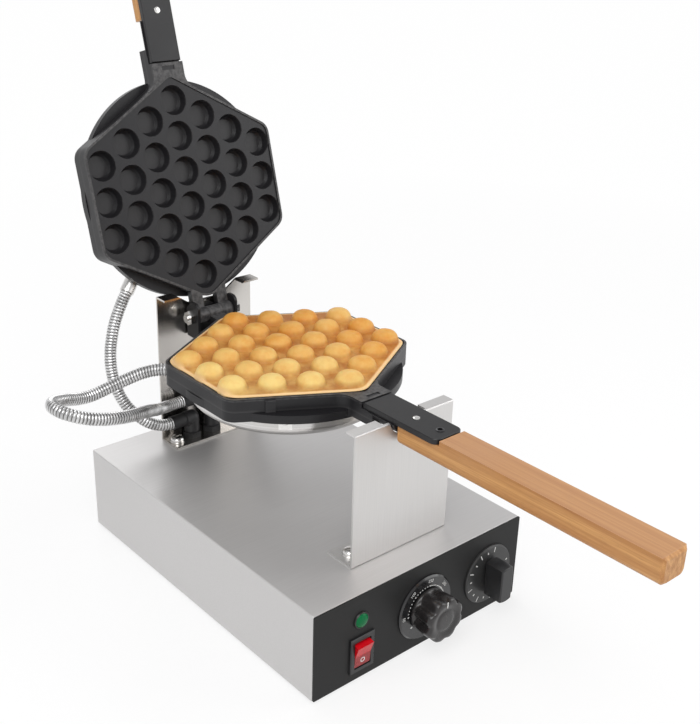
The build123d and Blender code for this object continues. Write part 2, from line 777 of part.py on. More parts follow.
def stand_bolts():
    """Slotted round-headed bolts with washers, and the nuts under the base's top."""
    bolts, washers, nuts = [], [], []
    foot_top = base_top + stand_sheet
    under = base_top - base_sheet
    for x, y in stand_bolt_places():
        ring = rod(washer_radius, (x, y, foot_top + 0.02), (x, y, foot_top + washer_thickness))
        washers.append(ring - rod(bolt_radius + 0.1, (x, y, foot_top - 1), (x, y, foot_top + 5)))
        head_low = foot_top + washer_thickness + 0.02
        head_top = head_low + bolt_head_height
        head = rod(bolt_head_radius, (x, y, head_low), (x, y, head_top))
        head = fillet(head.edges().group_by(Axis.Z)[-1], bolt_head_round)
        turned = Pos(x, y, head_top) * Rot(0, 0, bolt_slot_turn)
        slot = turned * Box(3 * bolt_head_radius, bolt_slot, 2 * bolt_slot)
        bolts.append(head - slot + rod(bolt_radius, (x, y, under - 9), (x, y, head_low + 1)))
        nut = hex_rod(bolt_nut_radius, (x, y, under - 5.2), (x, y, under - 0.1))
        nuts.append(nut - rod(bolt_radius + 0.02, (x, y, under - 10), (x, y, under + 5)))
    return solids_of(bolts), solids_of(washers), solids_of(nuts)


# ---------------------------------------------------------------- conduit elbows
def elbow(index):
    """Right-angle conduit fitting: thread, hexagon, elbow and smooth sleeve."""
    x = elbow_x[index]
    seat = base_top + stand_sheet
    port_z = base_top + elbow_port_height[index]
    port_x = x - elbow_port_reach[index]
    thread = rod(elbow_thread_radius, (x, elbow_y, seat - elbow_thread_length), (x, elbow_y, seat + 1))
    collar = hex_rod(elbow_radius, (x, elbow_y, seat + 0.02), (x, elbow_y, seat + 6))
    rise = rod(elbow_radius - 1, (x, elbow_y, seat + 5), (x, elbow_y, port_z))
    ball = Pos(x, elbow_y, port_z) * Sphere(elbow_radius - 1)
    port = rod(elbow_radius - 1, (port_x, elbow_y, port_z), (x, elbow_y, port_z))
    mouth = (port_x - elbow_sleeve_length, elbow_y, port_z)
    sleeve = rod(sleeve_radius, mouth, (port_x + 1, elbow_y, port_z))
    return thread + collar + rise + ball + port + sleeve


def locknuts():
    nuts = []
    top = base_top - base_sheet - 0.05
    for x in elbow_x:
        nut = hex_rod(locknut_radius, (x, elbow_y, top - locknut_thickness), (x, elbow_y, top))
        nuts.append(nut - rod(elbow_thread_radius + 0.02, (x, elbow_y, top - 10), (x, elbow_y, top + 5)))
    return solids_of(nuts)


# ---------------------------------------------------------------- conduits
# Each route is a list of points chosen by hand, from the pan's gland to the base's elbow.
def gland_mouth(upper):
    """Where a pan's gland ends, and the point one hose run further out."""
    reach = cover_radius + gland_nut_length + pan_sleeve_length
    turn = math.radians(-open_angle)
    marks = []
    for radius in (reach, reach + 17.0):
        x, y, z = polar(radius, hose_gland_angle, gland_height(), True)
        if upper:
            z = -z
            y, z = y * math.cos(turn) - z * math.sin(turn), y * math.sin(turn) + z * math.cos(turn)
        marks.append((x, hinge_y + y, axis_z + z))
    return marks


def elbow_mouth(index):
    """Where an elbow's sleeve ends, and the point one hose run further out."""
    x = elbow_x[index] - elbow_port_reach[index] - elbow_sleeve_length
    z = base_top + elbow_port_height[index]
    return [(x - 17.0, elbow_y, z), (x, elbow_y, z)]


upper_hose_middle = [
    (-98.0, 172.0, 216.0),
    (-104.0, 170.0, 187.0),
    (-103.0, 164.0, 159.0),
    (-94.0, 154.0, 134.0),
]
lower_hose_middle = [
    (-120.0, 130.0, 181.0),
    (-152.0, 131.0, 174.0),
    (-184.0, 122.0, 186.0),
    (-205.0, 101.0, 195.0),
    (-200.0, 77.0, 193.0),
    (-176.0, 68.0, 184.0),
    (-145.0, 71.0, 176.0),
    (-116.0, 84.0, 168.0),
    (-92.0, 106.0, 154.0),
    (-76.0, 131.0, 139.0),
]


def hose(name, points):
    """A round hose along straight runs joined by tangent arcs."""
    radii = []
    for before, corner, after in zip(points, points[1:], points[2:]):
        incoming = Vector(*corner) - Vector(*before)
        outgoing = Vector(*after) - Vector(*corner)
        shorter = min(incoming.length, outgoing.length)
        half_turn = math.radians(incoming.get_angle(outgoing) / 2)
        radii.append(0.45 * shorter / math.tan(half_turn))
    path = FilletPolyline(*points, radius=radii)
    start = Plane(origin=path @ 0, z_dir=path % 0)
    tube = sweep(start * Circle(hose_radius), path=path)
    expected = math.pi * hose_radius ** 2 * path.length
    print(name, "radii", [round(r, 1) for r in radii], "length", round(path.length, 1),
          "volume ratio", round(tube.volume / expected, 4))
    return tube


# ---------------------------------------------------------------- controls
def dial(x, radius):
    """Round dial plate on the panel, with a bevelled edge and a shaft hole."""
    z = base_low + dial_height
    disc = rod(radius, (x, panel_face - dial_thickness, z), (x, panel_face, z))
    disc = chamfer(disc.edges().group_by(Axis.Y)[0], 1.4)
    return disc - rod(shaft_hole_radius, (x, panel_face - 10, z), (x, panel_face + 10, z))


def lobed_knob():
    """Thermostat knob: a round skirt under a lobed grip with a dished front."""
    z = base_low + dial_height
    back = panel_face - dial_thickness - knob_gap
    front = back - knob_depth
    skirt = rod(knob_skirt_radius, (thermostat_x, back - 4, z), (thermostat_x, back, z))
    grip = rod(knob_radius + 1.5, (thermostat_x, front, z), (thermostat_x, back - 3, z))
    grip = fillet(grip.edges().group_by(Axis.Y)[0], 2.0)
    for i in range(knob_lobes):
        turn = math.radians(360 / knob_lobes * (i + 0.5))
        reach = knob_radius + knob_lobe_radius - 1.0
        x, dz = thermostat_x + reach * math.cos(turn), z + reach * math.sin(turn)
        grip -= rod(knob_lobe_radius, (x, front - 1, dz), (x, back - 4, dz))
    knob = skirt + grip
    knob -= rod(knob_radius * 0.55, (thermostat_x, front - 1, z), (thermostat_x, front + 0.8, z))
    bore_end = (thermostat_x, back - 14, z)
    return knob - rod(shaft_radius + shaft_clearance, bore_end, (thermostat_x, back + 1, z))


def bar_knob():
    """Timer knob: a round-ended bar on a short foot."""
    z = base_low + dial_height
    back = panel_face - dial_thickness - knob_gap
    front = back - bar_knob_depth
    foot = rod(bar_knob_foot, (timer_x, back - 4, z), (timer_x, back, z))
    turned = rod(bar_knob_radius, (timer_x, front, z), (timer_x, back - 1.5, z))
    half = bar_knob_width / 2
    bar = turned & block((timer_x - half, timer_x + half), (front, back - 1.5), (z - 40, z + 40))
    bar = fillet(bar.faces().sort_by(Axis.Y)[0].edges(), 1.5)
    knob = foot + bar
    return knob - rod(shaft_radius + shaft_clearance, (timer_x, back - 14, z), (timer_x, back + 1, z))


def thermostat():
    """Capillary thermostat: round body, collar and shaft."""
    z = base_low + dial_height
    inner = front_y + base_sheet
    body_end = (thermostat_x, inner + thermostat_body_depth, z)
    body = rod(thermostat_body_radius, (thermostat_x, inner + 0.1, z), body_end)
    back = panel_face - dial_thickness - knob_gap
    shaft = rod(shaft_radius, (thermostat_x, back - 13, z), (thermostat_x, inner + 1, z))
    return body + shaft


def timer():
    """Mechanical timer: square case and shaft."""
    z = base_low + dial_height
    inner = front_y + base_sheet
    wide, deep, tall = timer_body_size
    across = (timer_x - wide / 2 - 3, timer_x + wide / 2 - 3)
    case = block(across, (inner + 0.1, inner + deep), (z - tall / 2, z + tall / 2))
    case = fillet(case.edges().filter_by(Axis.Y), 4.0)
    back = panel_face - dial_thickness - knob_gap
    shaft = rod(shaft_radius, (timer_x, back - 13, z), (timer_x, inner + 1, z))
    return case + shaft


def switch_housing():
    """Snap-in switch body with its bezel, open at the front for the rocker."""
    z = base_low + switch_height
    half_x, half_z = switch_width / 2, switch_tall / 2
    across = (switch_x - half_x, switch_x + half_x)
    bezel = block(across, (panel_face - 2.5, panel_face), (z - half_z, z + half_z))
    bezel = chamfer(bezel.faces().sort_by(Axis.Y)[0].edges(), 0.8)
    body_x, body_z = half_x - switch_bezel, half_z - switch_bezel
    across = (switch_x - body_x, switch_x + body_x)
    body = block(across, (panel_face - 1, front_y + switch_body_depth), (z - body_z, z + body_z))
    room_x, room_z = half_x - switch_wall, half_z - switch_wall
    room_x -= 1.2
    room_z -= 1.2
    across = (switch_x - room_x, switch_x + room_x)
    room = block(across, (panel_face - 5, panel_face + 12), (z - room_z, z + room_z))
    return bezel + body - room


def rocker():
    """Two-faced rocker, resting with its lower half pressed in."""
    z = base_low + switch_height
    half_x = switch_width / 2 - switch_wall - 1.2 - rocker_gap
    half_z = switch_tall / 2 - switch_wall - 1.2 - 2.2
    outline = [(0, -5.0), (half_z, -6.4), (half_z, 1.0), (4, 7.5)]
    outline += [(-4, 7.5), (-half_z, 1.0), (-half_z, -6.4)]
    face = Polygon(*outline, align=None)
    plane = Plane(origin=(switch_x - half_x, rocker_pivot_y(), z), x_dir=(0, 0, 1), z_dir=(-1, 0, 0))
    key = extrude(plane * face, amount=-2 * half_x)
    turn = Pos(0, rocker_pivot_y(), z) * Rot(rocker_angle, 0, 0) * Pos(0, -rocker_pivot_y(), -z)
    return turn * key


def rocker_pivot_y():
    return panel_face + 2.0


def lamp_lens():
    z = base_low + lamp_height
    lens = rod(lamp_radius, (lamp_x, panel_face - lamp_proud, z), (lamp_x, panel_face - 0.05, z))
    return fillet(lens.edges().group_by(Axis.Y)[0], 2.5)


def lamp_body():
    z = base_low + lamp_height
    return rod(lamp_body_radius, (lamp_x, panel_face, z), (lamp_x, front_y + lamp_body_length, z))


# ---------------------------------------------------------------- inside and behind the base
def terminal_block():
    """Ceramic terminal block on the bottom plate, with its wire chambers."""
    wide, deep, tall = block_size
    y = back_y - 70
    across = (30 - wide / 2, 30 + wide / 2)
    body = block(across, (y - deep / 2, y + deep / 2), (plate_top + 0.05, plate_top + tall))
    body = fillet(body.edges().filter_by(Axis.Z), 2.0)
    for i in range(5):
        x = 30 + (i - 2) * wide / 5.4
        body -= block((x - 4, x + 4), (y - 6, y + 6), (plate_top + tall - 8, plate_top + tall + 1))
    return body


def cord_gland():
    """Strain-relief gland in the back wall; its cord is left out."""
    z = base_low + cord_gland_height
    x = cord_gland_x
    spigot = rod(cord_gland_radius - 2, (x, back_y - 8, z), (x, back_y + 1, z))
    hexagon_part = hex_rod(cord_gland_radius, (x, back_y + 0.1, z), (x, back_y + 6, z))
    cap = rod(cord_gland_radius - 2.5, (x, back_y + 5, z), (x, back_y + 18, z))
    cap = fillet(cap.edges().group_by(Axis.Y)[-1], 3.0)
    return spigot + hexagon_part + cap - rod(cord_gland_bore, (x, back_y - 20, z), (x, back_y + 30, z))


def gland_locknut():
    z = base_low + cord_gland_height
    inner = back_y - base_sheet
    nut = hex_rod(cord_gland_radius + 1, (cord_gland_x, inner - 4, z), (cord_gland_x, inner - 0.1, z))
    thread_end = (cord_gland_x, inner - 10, z)
    return nut - rod(cord_gland_radius - 2 + 0.05, thread_end, (cord_gland_x, inner + 5, z))


# ---------------------------------------------------------------- everything
def pan_pieces():
    """The pieces that the two pans share, in the lower pan's closed place."""
    clips, clip_screws = cover_clips()
    return {
        "heating_element": heater_ring(),
        "insulation_pad": insulation_pad(),
        "heater_cover": heater_cover(),
        "cover_clips": clips,
        "cover_screws": clip_screws,
        "hose_gland": pan_gland(),
        "handle_strap": handle_strap(),
        "handle_grip": handle_grip(),
        "handle_rivet": dome_screw(rivet_at, 0.75),
        "handle_screw": dome_screw(strap_screw_at, 0.7),
        "neck_screws": neck_screws(),
    }


def main():
    os.makedirs("parts", exist_ok=True)

    half_middle = middle_knuckle / 2
    outer_start = half_middle + side_gap
    outer_end = outer_start + outer_knuckle
    lower = plate_casting([(-half_middle, half_middle)], [casting_lug()])
    upper = plate_casting([(-outer_end, -outer_start), (outer_start, outer_end)])
    write("lower_plate", at_hinge(lower))
    write("upper_plate", at_hinge(as_upper(upper)))
    for name, piece in pan_pieces().items():
        write("lower_" + name, at_hinge(piece))
        write("upper_" + name, at_hinge(as_upper(piece)))

    write("hinge_yoke", at_hinge(yoke()))
    write("hinge_pin", at_hinge(hinge_pin()))
    write("hinge_nut", at_hinge(hinge_nut()))
    write("pivot_bush", at_hinge(pivot_bush()))
    write("pivot_washer", at_hinge(pivot_washer()))
    write("pivot_nut", at_hinge(pivot_nut()))
    write("egg_waffle", at_hinge(waffle()))

    write("base_housing", base_housing())
    write("bottom_plate", bottom_plate())
    write("bottom_screws", bottom_screws())
    write("rubber_feet", rubber_feet())
    write("control_panel", control_panel())
    write("front_stand", front_stand())
    write("rear_stand", rear_stand())
    bolts, washers, nuts = stand_bolts()
    write("stand_bolts", bolts)
    write("stand_washers", washers)
    write("stand_nuts", nuts)
    write("upper_hose_elbow", elbow(0))
    write("lower_hose_elbow", elbow(1))
    write("elbow_locknuts", locknuts())

    write("thermostat_dial", dial(thermostat_x, thermostat_dial_radius))
    write("timer_dial", dial(timer_x, timer_dial_radius))
    write("thermostat_knob", lobed_knob())
    write("timer_knob", bar_knob())
    write("thermostat", thermostat())
    write("timer", timer())
    write("switch_housing", switch_housing())
    write("switch_rocker", rocker())
    write("indicator_lens", lamp_lens())
    write("indicator_body", lamp_body())
    write("terminal_block", terminal_block())
    write("cord_gland", cord_gland())
    write("cord_gland_locknut", gland_locknut())

    write("upper_hose", hose("upper_hose", gland_mouth(True) + upper_hose_middle + elbow_mouth(0)))
    write("lower_hose", hose("lower_hose", gland_mouth(False) + lower_hose_middle + elbow_mouth(1)))


if __name__ == "__main__":
    main()
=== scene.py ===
import math

import bmesh
import bpy
from bpy.props import FloatProperty, FloatVectorProperty, IntProperty, PointerProperty
from mathutils import Matrix, Vector


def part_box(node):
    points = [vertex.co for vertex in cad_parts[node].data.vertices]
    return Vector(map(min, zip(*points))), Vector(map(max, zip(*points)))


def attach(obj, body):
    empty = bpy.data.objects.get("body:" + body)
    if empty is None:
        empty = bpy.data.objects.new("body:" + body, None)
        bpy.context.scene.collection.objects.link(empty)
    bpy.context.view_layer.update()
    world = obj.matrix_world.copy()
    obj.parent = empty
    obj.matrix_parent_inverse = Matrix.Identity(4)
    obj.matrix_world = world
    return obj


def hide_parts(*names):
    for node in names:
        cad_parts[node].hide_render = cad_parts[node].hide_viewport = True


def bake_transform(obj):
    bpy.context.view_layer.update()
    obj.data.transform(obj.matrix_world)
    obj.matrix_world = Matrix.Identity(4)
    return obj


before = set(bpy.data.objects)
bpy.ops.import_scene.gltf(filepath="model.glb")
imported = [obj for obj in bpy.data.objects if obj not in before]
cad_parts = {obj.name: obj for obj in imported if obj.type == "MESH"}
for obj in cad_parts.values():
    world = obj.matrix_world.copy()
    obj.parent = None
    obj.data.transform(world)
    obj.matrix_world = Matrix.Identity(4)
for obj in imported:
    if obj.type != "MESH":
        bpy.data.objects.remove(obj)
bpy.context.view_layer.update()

bl_info = {
    "name": "Egg Waffle Maker",
    "version": (1, 0, 0),
    "blender": (4, 5, 0),
    "location": "View3D > Sidebar > Waffle Maker",
    "description": "Dresses the egg waffle maker's frame with its materials, waffle, conduits and fittings",
    "category": "Object",
}

AXIS_Y, AXIS_Z = 0.139, 0.2245          # the hinge pin, which lies along X
OPEN_ANGLE = math.radians(106)
PAN_CENTRE = 0.0124                     # the lower pan's middle along Y


# ------------------------------------------------------------------ sizes and colours
def size(name, default, description=""):
    return FloatProperty(name=name, description=description or name, default=default, unit="LENGTH",
                         precision=4)


def amount(name, default, description, unit="NONE"):
    return FloatProperty(name=name, description=description, default=default, unit=unit)


def count(name, default, description, least, most):
    return IntProperty(name=name, description=description, default=default, min=least, max=most)


def share(name, default):
    return FloatProperty(name=name, description=name, default=default, subtype="FACTOR", min=0.0, max=1.0)


def colour(name, default):
    return FloatVectorProperty(name=name, description=name, default=default, subtype="COLOR", size=3,
                               min=0.0, max=1.0)


class StageSettings(bpy.types.PropertyGroup):
    floor: colour("Floor", (0.93, 0.93, 0.93))
    key_power: amount("Key light", 30.0, "Power of the large light", "POWER")
    fill_power: amount("Fill light", 12.0, "Power of the side light", "POWER")
    sky: amount("Sky", 0.55, "Strength of the even light all round")
    lens: amount("Lens", 55.58, "Focal length in millimetres")


class SteelSettings(bpy.types.PropertyGroup):
    sheet: colour("Sheet steel", (0.615, 0.605, 0.60))
    stand: colour("Stand steel", (0.69, 0.68, 0.67))
    sheet_roughness: share("Sheet roughness", 0.46)
    bright: colour("Bright fasteners", (0.80, 0.79, 0.77))
    cover: colour("Heater cover", (0.62, 0.61, 0.60))
    conduit: colour("Conduit", (0.66, 0.66, 0.66))


class CastingSettings(bpy.types.PropertyGroup):
    coating: colour("Non-stick coating", (0.0125, 0.012, 0.0135))
    # wear and painted highlight along the rim and the cups' mouths
    worn: colour("Worn edges and painted highlight", (0.085, 0.083, 0.083))
    floor: colour("Cup floors", (0.037, 0.0355, 0.0365))
    roughness: share("Coating roughness", 0.39)


class WoodSettings(bpy.types.PropertyGroup):
    light: colour("Light grain", (0.73, 0.40, 0.140))
    dark: colour("Dark grain", (0.40, 0.165, 0.046))
    ring_scale: amount("Ring scale", 95.0, "Growth rings across the grip")


class WaffleSettings(bpy.types.PropertyGroup):
    pitch: size("Cell pitch", 0.0348)
    radius: size("Bubble radius", 0.0139)
    rise: size("Bubble height", 0.0106, "Height of a bubble above the web")
    web: size("Web thickness", 0.0022)
    side_reach: size("Reach to the flat sides", 0.1042)
    slope_reach: size("Reach to the sloping sides", 0.0945)
    pale: colour("Pale crust", (0.86, 0.62, 0.215))
    golden: colour("Golden crust", (0.71, 0.31, 0.050))
    # painted shade for the creases between the bubbles
    toasted: colour("Painted crease shade", (0.38, 0.115, 0.016))
    edge: colour("Crust at the rim", (0.93, 0.64, 0.33))


class ConduitSettings(bpy.types.PropertyGroup):
    diameter: size("Diameter", 0.0124)
    rib_pitch: size("Rib pitch", 0.0030)
    rib_depth: size("Rib depth", 0.0007)


class ControlSettings(bpy.types.PropertyGroup):
    panel: colour("Panel", (0.0205, 0.0205, 0.0205))
    dial: colour("Thermostat dial", (0.014, 0.014, 0.015))
    timer_dial: colour("Timer dial", (0.030, 0.030, 0.030))
    knob: colour("Thermostat knob", (0.018, 0.016, 0.016))
    bar_knob: colour("Timer knob", (0.020, 0.020, 0.021))
    lobes: count("Knob lobes", 8, "Lobes round the thermostat knob", 3, 16)
    marking: colour("Markings", (0.78, 0.78, 0.76))
    rocker: colour("Rocker", (0.62, 0.004, 0.011))
    # painted shade for the rocker's pressed lower half
    rocker_low: colour("Rocker's pressed half, painted shade", (0.31, 0.030, 0.032))
    lamp: colour("Lamp", (0.001, 0.125, 0.038))
    ticks: count("Timer marks", 16, "Marks round the timer's dial", 4, 60)


class WaffleMakerSettings(bpy.types.PropertyGroup):
    stage: PointerProperty(type=StageSettings)
    steel: PointerProperty(type=SteelSettings)
    casting: PointerProperty(type=CastingSettings)
    wood: PointerProperty(type=WoodSettings)
    waffle: PointerProperty(type=WaffleSettings)
    conduit: PointerProperty(type=ConduitSettings)
    control: PointerProperty(type=ControlSettings)


GROUPS = {
    "stage": StageSettings, "steel": SteelSettings, "casting": CastingSettings, "wood": WoodSettings,
    "waffle": WaffleSettings, "conduit": ConduitSettings, "control": ControlSettings,
}


def settings():
    return bpy.context.scene.waffle_maker


# ------------------------------------------------------------------ node trees
def darker(base, part):
    return tuple(c * (1 - part) for c in base)


class Nodes:
    """A node tree, with short ways to add nodes and to join them."""

    def __init__(self, tree):
        self.tree = tree

    def join(self, target, value):
        """Set a socket, or join a node's output to it."""
        if isinstance(value, bpy.types.NodeSocket):
            self.tree.links.new(value, target)
        elif target.type == "RGBA" and len(value) == 3:
            target.default_value = (*value, 1.0)
        else:
            target.default_value = value

    def node(self, kind, inputs, output=0, **options):
        """Add a node, with its options and inputs by name or number, and give its output."""
        made = self.tree.nodes.new(kind)
        for key, value in options.items():
            setattr(made, key, value)
        for key, value in inputs.items():
            self.join(made.inputs[key], value)
        return made.outputs[output]

    def maths(self, operation, first, second=0.0, third=0.0):
        return self.node("ShaderNodeMath", {0: first, 1: second, 2: third}, operation=operation)

    def times(self, first, *more):
        for value in more:
            first = self.maths("MULTIPLY", first, value)
        return first

    def less(self, first, second):
        return self.maths("SUBTRACT", first, second)

    def scaled(self, value, factor, start):
        """A value times a factor, counted from a start."""
        return self.maths("MULTIPLY_ADD", value, factor, start)

    def vectors(self, operation, first, second):
        return self.node("ShaderNodeVectorMath", {0: first, 1: second}, operation=operation)

    def xyz(self, vector):
        return self.node("ShaderNodeSeparateXYZ", {0: vector}, output=slice(3))

    def noise(self, scale, detail=4.0, vector=None, roughness=0.5, distortion=0.0, output=0):
        """Noise with a scale in cells per metre."""
        return self.node("ShaderNodeTexNoise", {
            "Vector": vector or self.place, "Scale": scale, "Detail": detail,
            "Roughness": roughness, "Distortion": distortion}, output=output)

    def ramp(self, factor, *stops):
        """A shade, or a colour, that follows a factor through stops of (place, shade)."""
        made = self.tree.nodes.new("ShaderNodeValToRGB")
        self.join(made.inputs[0], factor)
        elements = made.color_ramp.elements
        while len(elements) < len(stops):
            elements.new(1.0)
        for element, (at, shade) in zip(elements, stops):
            element.position = at
            element.color = (*(shade if isinstance(shade, tuple) else (shade, shade, shade)), 1.0)
        return made.outputs[0]


class Finish(Nodes):
    """A material: its one shader, and the nodes that feed it."""

    def __init__(self, name, base, metallic=0.0, roughness=0.5, **more):
        self.material = bpy.data.materials.new(name)
        self.material.use_nodes = True
        super().__init__(self.material.node_tree)
        self.shader = self.tree.nodes["Principled BSDF"]
        self.put("Base Color", base)
        self.put("Metallic", metallic)
        self.put("Roughness", roughness)
        for key, value in more.items():
            self.put(key.replace("_", " ").title().replace("Ior", "IOR"), value)
        self.place = self.node("ShaderNodeTexCoord", {}, output="Object")

    def put(self, socket, value):
        """Set one of the shader's sockets, or join a node's output to it."""
        self.join(self.shader.inputs[socket], value)

    def stretched(self, scale, vector=None, turn=(0, 0, 0)):
        """Coordinates, turned and scaled."""
        return self.node("ShaderNodeMapping", {
            "Vector": vector or self.place, "Rotation": turn, "Scale": scale})

    def pan_place(self, upper):
        """Coordinates in a pan's own frame, its origin on the hinge pin and +Z out of its cups."""
        moved = self.vectors("SUBTRACT", self.place, (0, AXIS_Y, AXIS_Z))
        turned = self.stretched((1, 1, 1), moved, (OPEN_ANGLE if upper else 0, 0, 0))
        return self.vectors("MULTIPLY", turned, (1, 1, -1 if upper else 1))

    def stored(self, name):
        return self.node("ShaderNodeAttribute", {}, output="Fac", attribute_name=name)

    def fade(self, factor, low, high, first=0.0, last=1.0):
        return self.ramp(factor, (low, first), (high, last))

    def between(self, value, low, high, first=0.0, last=1.0):
        """A value's way from low to high, in any range, held at both ends."""
        return self.node("ShaderNodeMapRange", {0: value, 1: low, 2: high, 3: first, 4: last})

    def mix(self, factor, first, second):
        return self.node("ShaderNodeMix", {0: factor, 6: first, 7: second}, output=2, data_type="RGBA")

    def mottled(self, factor, base, spread):
        """From a darker to a lighter version of a colour."""
        light = tuple(min(c * (1 + spread), 1.0) for c in base)
        return self.mix(factor, darker(base, spread), light)

    def rough(self, factor, low, high):
        self.put("Roughness", self.fade(factor, 0.3, 0.7, low, high))

    def bump(self, height, distance, strength, after=None):
        """Raise the surface by a height field, distance in metres, on top of an earlier one."""
        inputs = {"Height": height, "Distance": distance, "Strength": strength}
        if after is not None:
            inputs["Normal"] = after
        raised = self.node("ShaderNodeBump", inputs)
        self.put("Normal", raised)
        return raised


class Growth(Nodes):
    """A geometry node tree with named sizes, which ends in real geometry with a material."""

    def __init__(self, name, sizes):
        super().__init__(bpy.data.node_groups.new(name, "GeometryNodeTree"))
        self.sizes = sizes
        interface = self.tree.interface
        interface.new_socket("Geometry", in_out="INPUT", socket_type="NodeSocketGeometry")
        for key, value in sizes.items():
            kind = "NodeSocketInt" if isinstance(value, int) else "NodeSocketFloat"
            interface.new_socket(key, in_out="INPUT", socket_type=kind)
        interface.new_socket("Geometry", in_out="OUTPUT", socket_type="NodeSocketGeometry")
        self.given = self.tree.nodes.new("NodeGroupInput").outputs
        self.result = self.tree.nodes.new("NodeGroupOutput").inputs

    def store(self, geometry, name, value):
        return self.node("GeometryNodeStoreNamedAttribute", {
            "Geometry": geometry, "Name": name, "Value": value}, data_type="FLOAT", domain="POINT")

    def curve(self, factor, points):
        """A value that follows a factor through points."""
        made = self.tree.nodes.new("ShaderNodeFloatCurve")
        self.join(made.inputs["Value"], factor)
        line = made.mapping.curves[0]
        while len(line.points) < len(points):
            line.points.new(0.5, 0.5)
        for point, at in zip(line.points, points):
            point.location = at
        made.mapping.update()
        return made.outputs[0]

    def grow(self, geometry, finish, start, name):
        """Finish the tree, run it on a mesh and give the plain mesh that it makes."""
        real = self.node("GeometryNodeRealizeInstances", {"Geometry": geometry})
        painted = self.node("GeometryNodeSetMaterial", {"Geometry": real, "Material": finish.material})
        self.join(self.result[0], painted)
        holder = linked(name + "_growth", start)
        modifier = holder.modifiers.new("Growth", "NODES")
        modifier.node_group = self.tree
        for item in self.tree.interface.items_tree:
            if item.in_out == "INPUT" and item.name in self.sizes:
                modifier[item.identifier] = self.sizes[item.name]
        grown = final_mesh(holder)
        grown.name = name
        return grown


# ------------------------------------------------------------------ objects and meshes
def linked(name, data):
    """A new object in the scene."""
    made = bpy.data.objects.new(name, data)
    bpy.context.scene.collection.objects.link(made)
    return made


def final_mesh(holder):
    """What an object's curve, text or modifiers come to, as a plain mesh; the object goes."""
    graph = bpy.context.evaluated_depsgraph_get()
    mesh = bpy.data.meshes.new_from_object(holder.evaluated_get(graph))
    bpy.data.objects.remove(holder)
    return mesh


def piece(name, mesh, body=None, finish=None, node=None, sharp=None):
    """Link a finished mesh as a piece, which may ride on a body and stand for a CAD node.

    Its faces are smooth, with sharp edges where they meet at more than an angle in degrees.
    """
    if finish is not None:
        mesh.materials.clear()
        mesh.materials.append(finish.material)
    for face in mesh.polygons:
        face.use_smooth = True
    made = linked(name, mesh)
    if sharp is not None:
        made.data.set_sharp_from_angle(angle=math.radians(sharp))
    if node is not None:
        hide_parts(node)
    if body is not None:
        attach(made, body)
    return made


def dress(finish, *nodes):
    """Give CAD nodes a material."""
    for name in nodes:
        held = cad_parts[name]
        held.data.materials.clear()
        held.data.materials.append(finish.material)


def both(name):
    """A node's names on the lower and on the upper pan."""
    return "lower_" + name, "upper_" + name


def pan_frame(upper):
    """From the pan's own frame, its origin on the hinge pin and +Z out of its cups, to the world's."""
    place = Matrix.Translation((0, AXIS_Y, AXIS_Z))
    if upper:
        place = place @ Matrix.Rotation(-OPEN_ANGLE, 4, "X") @ Matrix.Rotation(math.pi, 4, "Y")
    return place


def facing(point, direction, turn=0.0):
    """A frame at a point, with +Z along a direction, turned about it."""
    aim = Vector(direction).to_track_quat("Z", "Y").to_matrix().to_4x4()
    return Matrix.Translation(point) @ aim @ Matrix.Rotation(turn, 4, "Z")


def built(name, build, place=Matrix()):
    """A mesh from a function that fills a bmesh, with its faces turned outwards."""
    work = bmesh.new()
    build(work)
    bmesh.ops.remove_doubles(work, verts=work.verts, dist=1e-6)
    bmesh.ops.recalc_face_normals(work, faces=work.faces)
    work.transform(place)
    mesh = bpy.data.meshes.new(name)
    work.to_mesh(mesh)
    work.free()
    return mesh


def lathed(name, profile, steps, place=Matrix(), sides=None, closed_back=False):
    """A profile of (radius, height) turned about Z; a third value is the depth that sides has there."""
    def build(work):
        rings = []
        for radius, height, *depth in profile:
            if radius == 0.0:
                rings.append([work.verts.new((0, 0, height))])
                continue
            ring = []
            for i in range(steps):
                angle = math.tau * i / steps
                reach = radius * (sides(angle, depth[0]) if sides else 1.0)
                ring.append(work.verts.new((reach * math.cos(angle), reach * math.sin(angle), height)))
            rings.append(ring)
        if closed_back:
            work.faces.new(rings[0][::-1])
        for low, high in zip(rings, rings[1:]):
            for i in range(steps):
                j = (i + 1) % steps
                if len(low) == 1:
                    work.faces.new((low[0], high[i], high[j]))
                elif len(high) == 1:
                    work.faces.new((low[i], low[j], high[0]))
                else:
                    work.faces.new((low[i], low[j], high[j], high[i]))
    return built(name, build, place)


def points_mesh(name, points, edges=()):
    mesh = bpy.data.meshes.new(name)
    mesh.from_pydata([tuple(p) for p in points], list(edges), [])
    return mesh


def repeated(name, master, frames, finish):
    """Copies of a small mesh, one at each frame."""
    work = Growth(name + "_copies", {})
    start = points_mesh(name + "_points", [f.to_translation() for f in frames])
    turns = start.attributes.new("turn", "FLOAT_VECTOR", "POINT")
    for item, made in zip(turns.data, frames):
        item.vector = made.to_euler()
    holder = linked(name + "_master", master)
    info = work.node("GeometryNodeObjectInfo", {"Object": holder}, output="Geometry")
    turn = work.node("GeometryNodeInputNamedAttribute", {"Name": "turn"}, data_type="FLOAT_VECTOR")
    turn = work.node("FunctionNodeEulerToRotation", {"Euler": turn})
    placed = work.node("GeometryNodeInstanceOnPoints", {
        "Points": work.given["Geometry"], "Instance": info, "Rotation": turn})
    grown = work.grow(placed, finish, start, name)
    bpy.data.objects.remove(holder)
    return grown


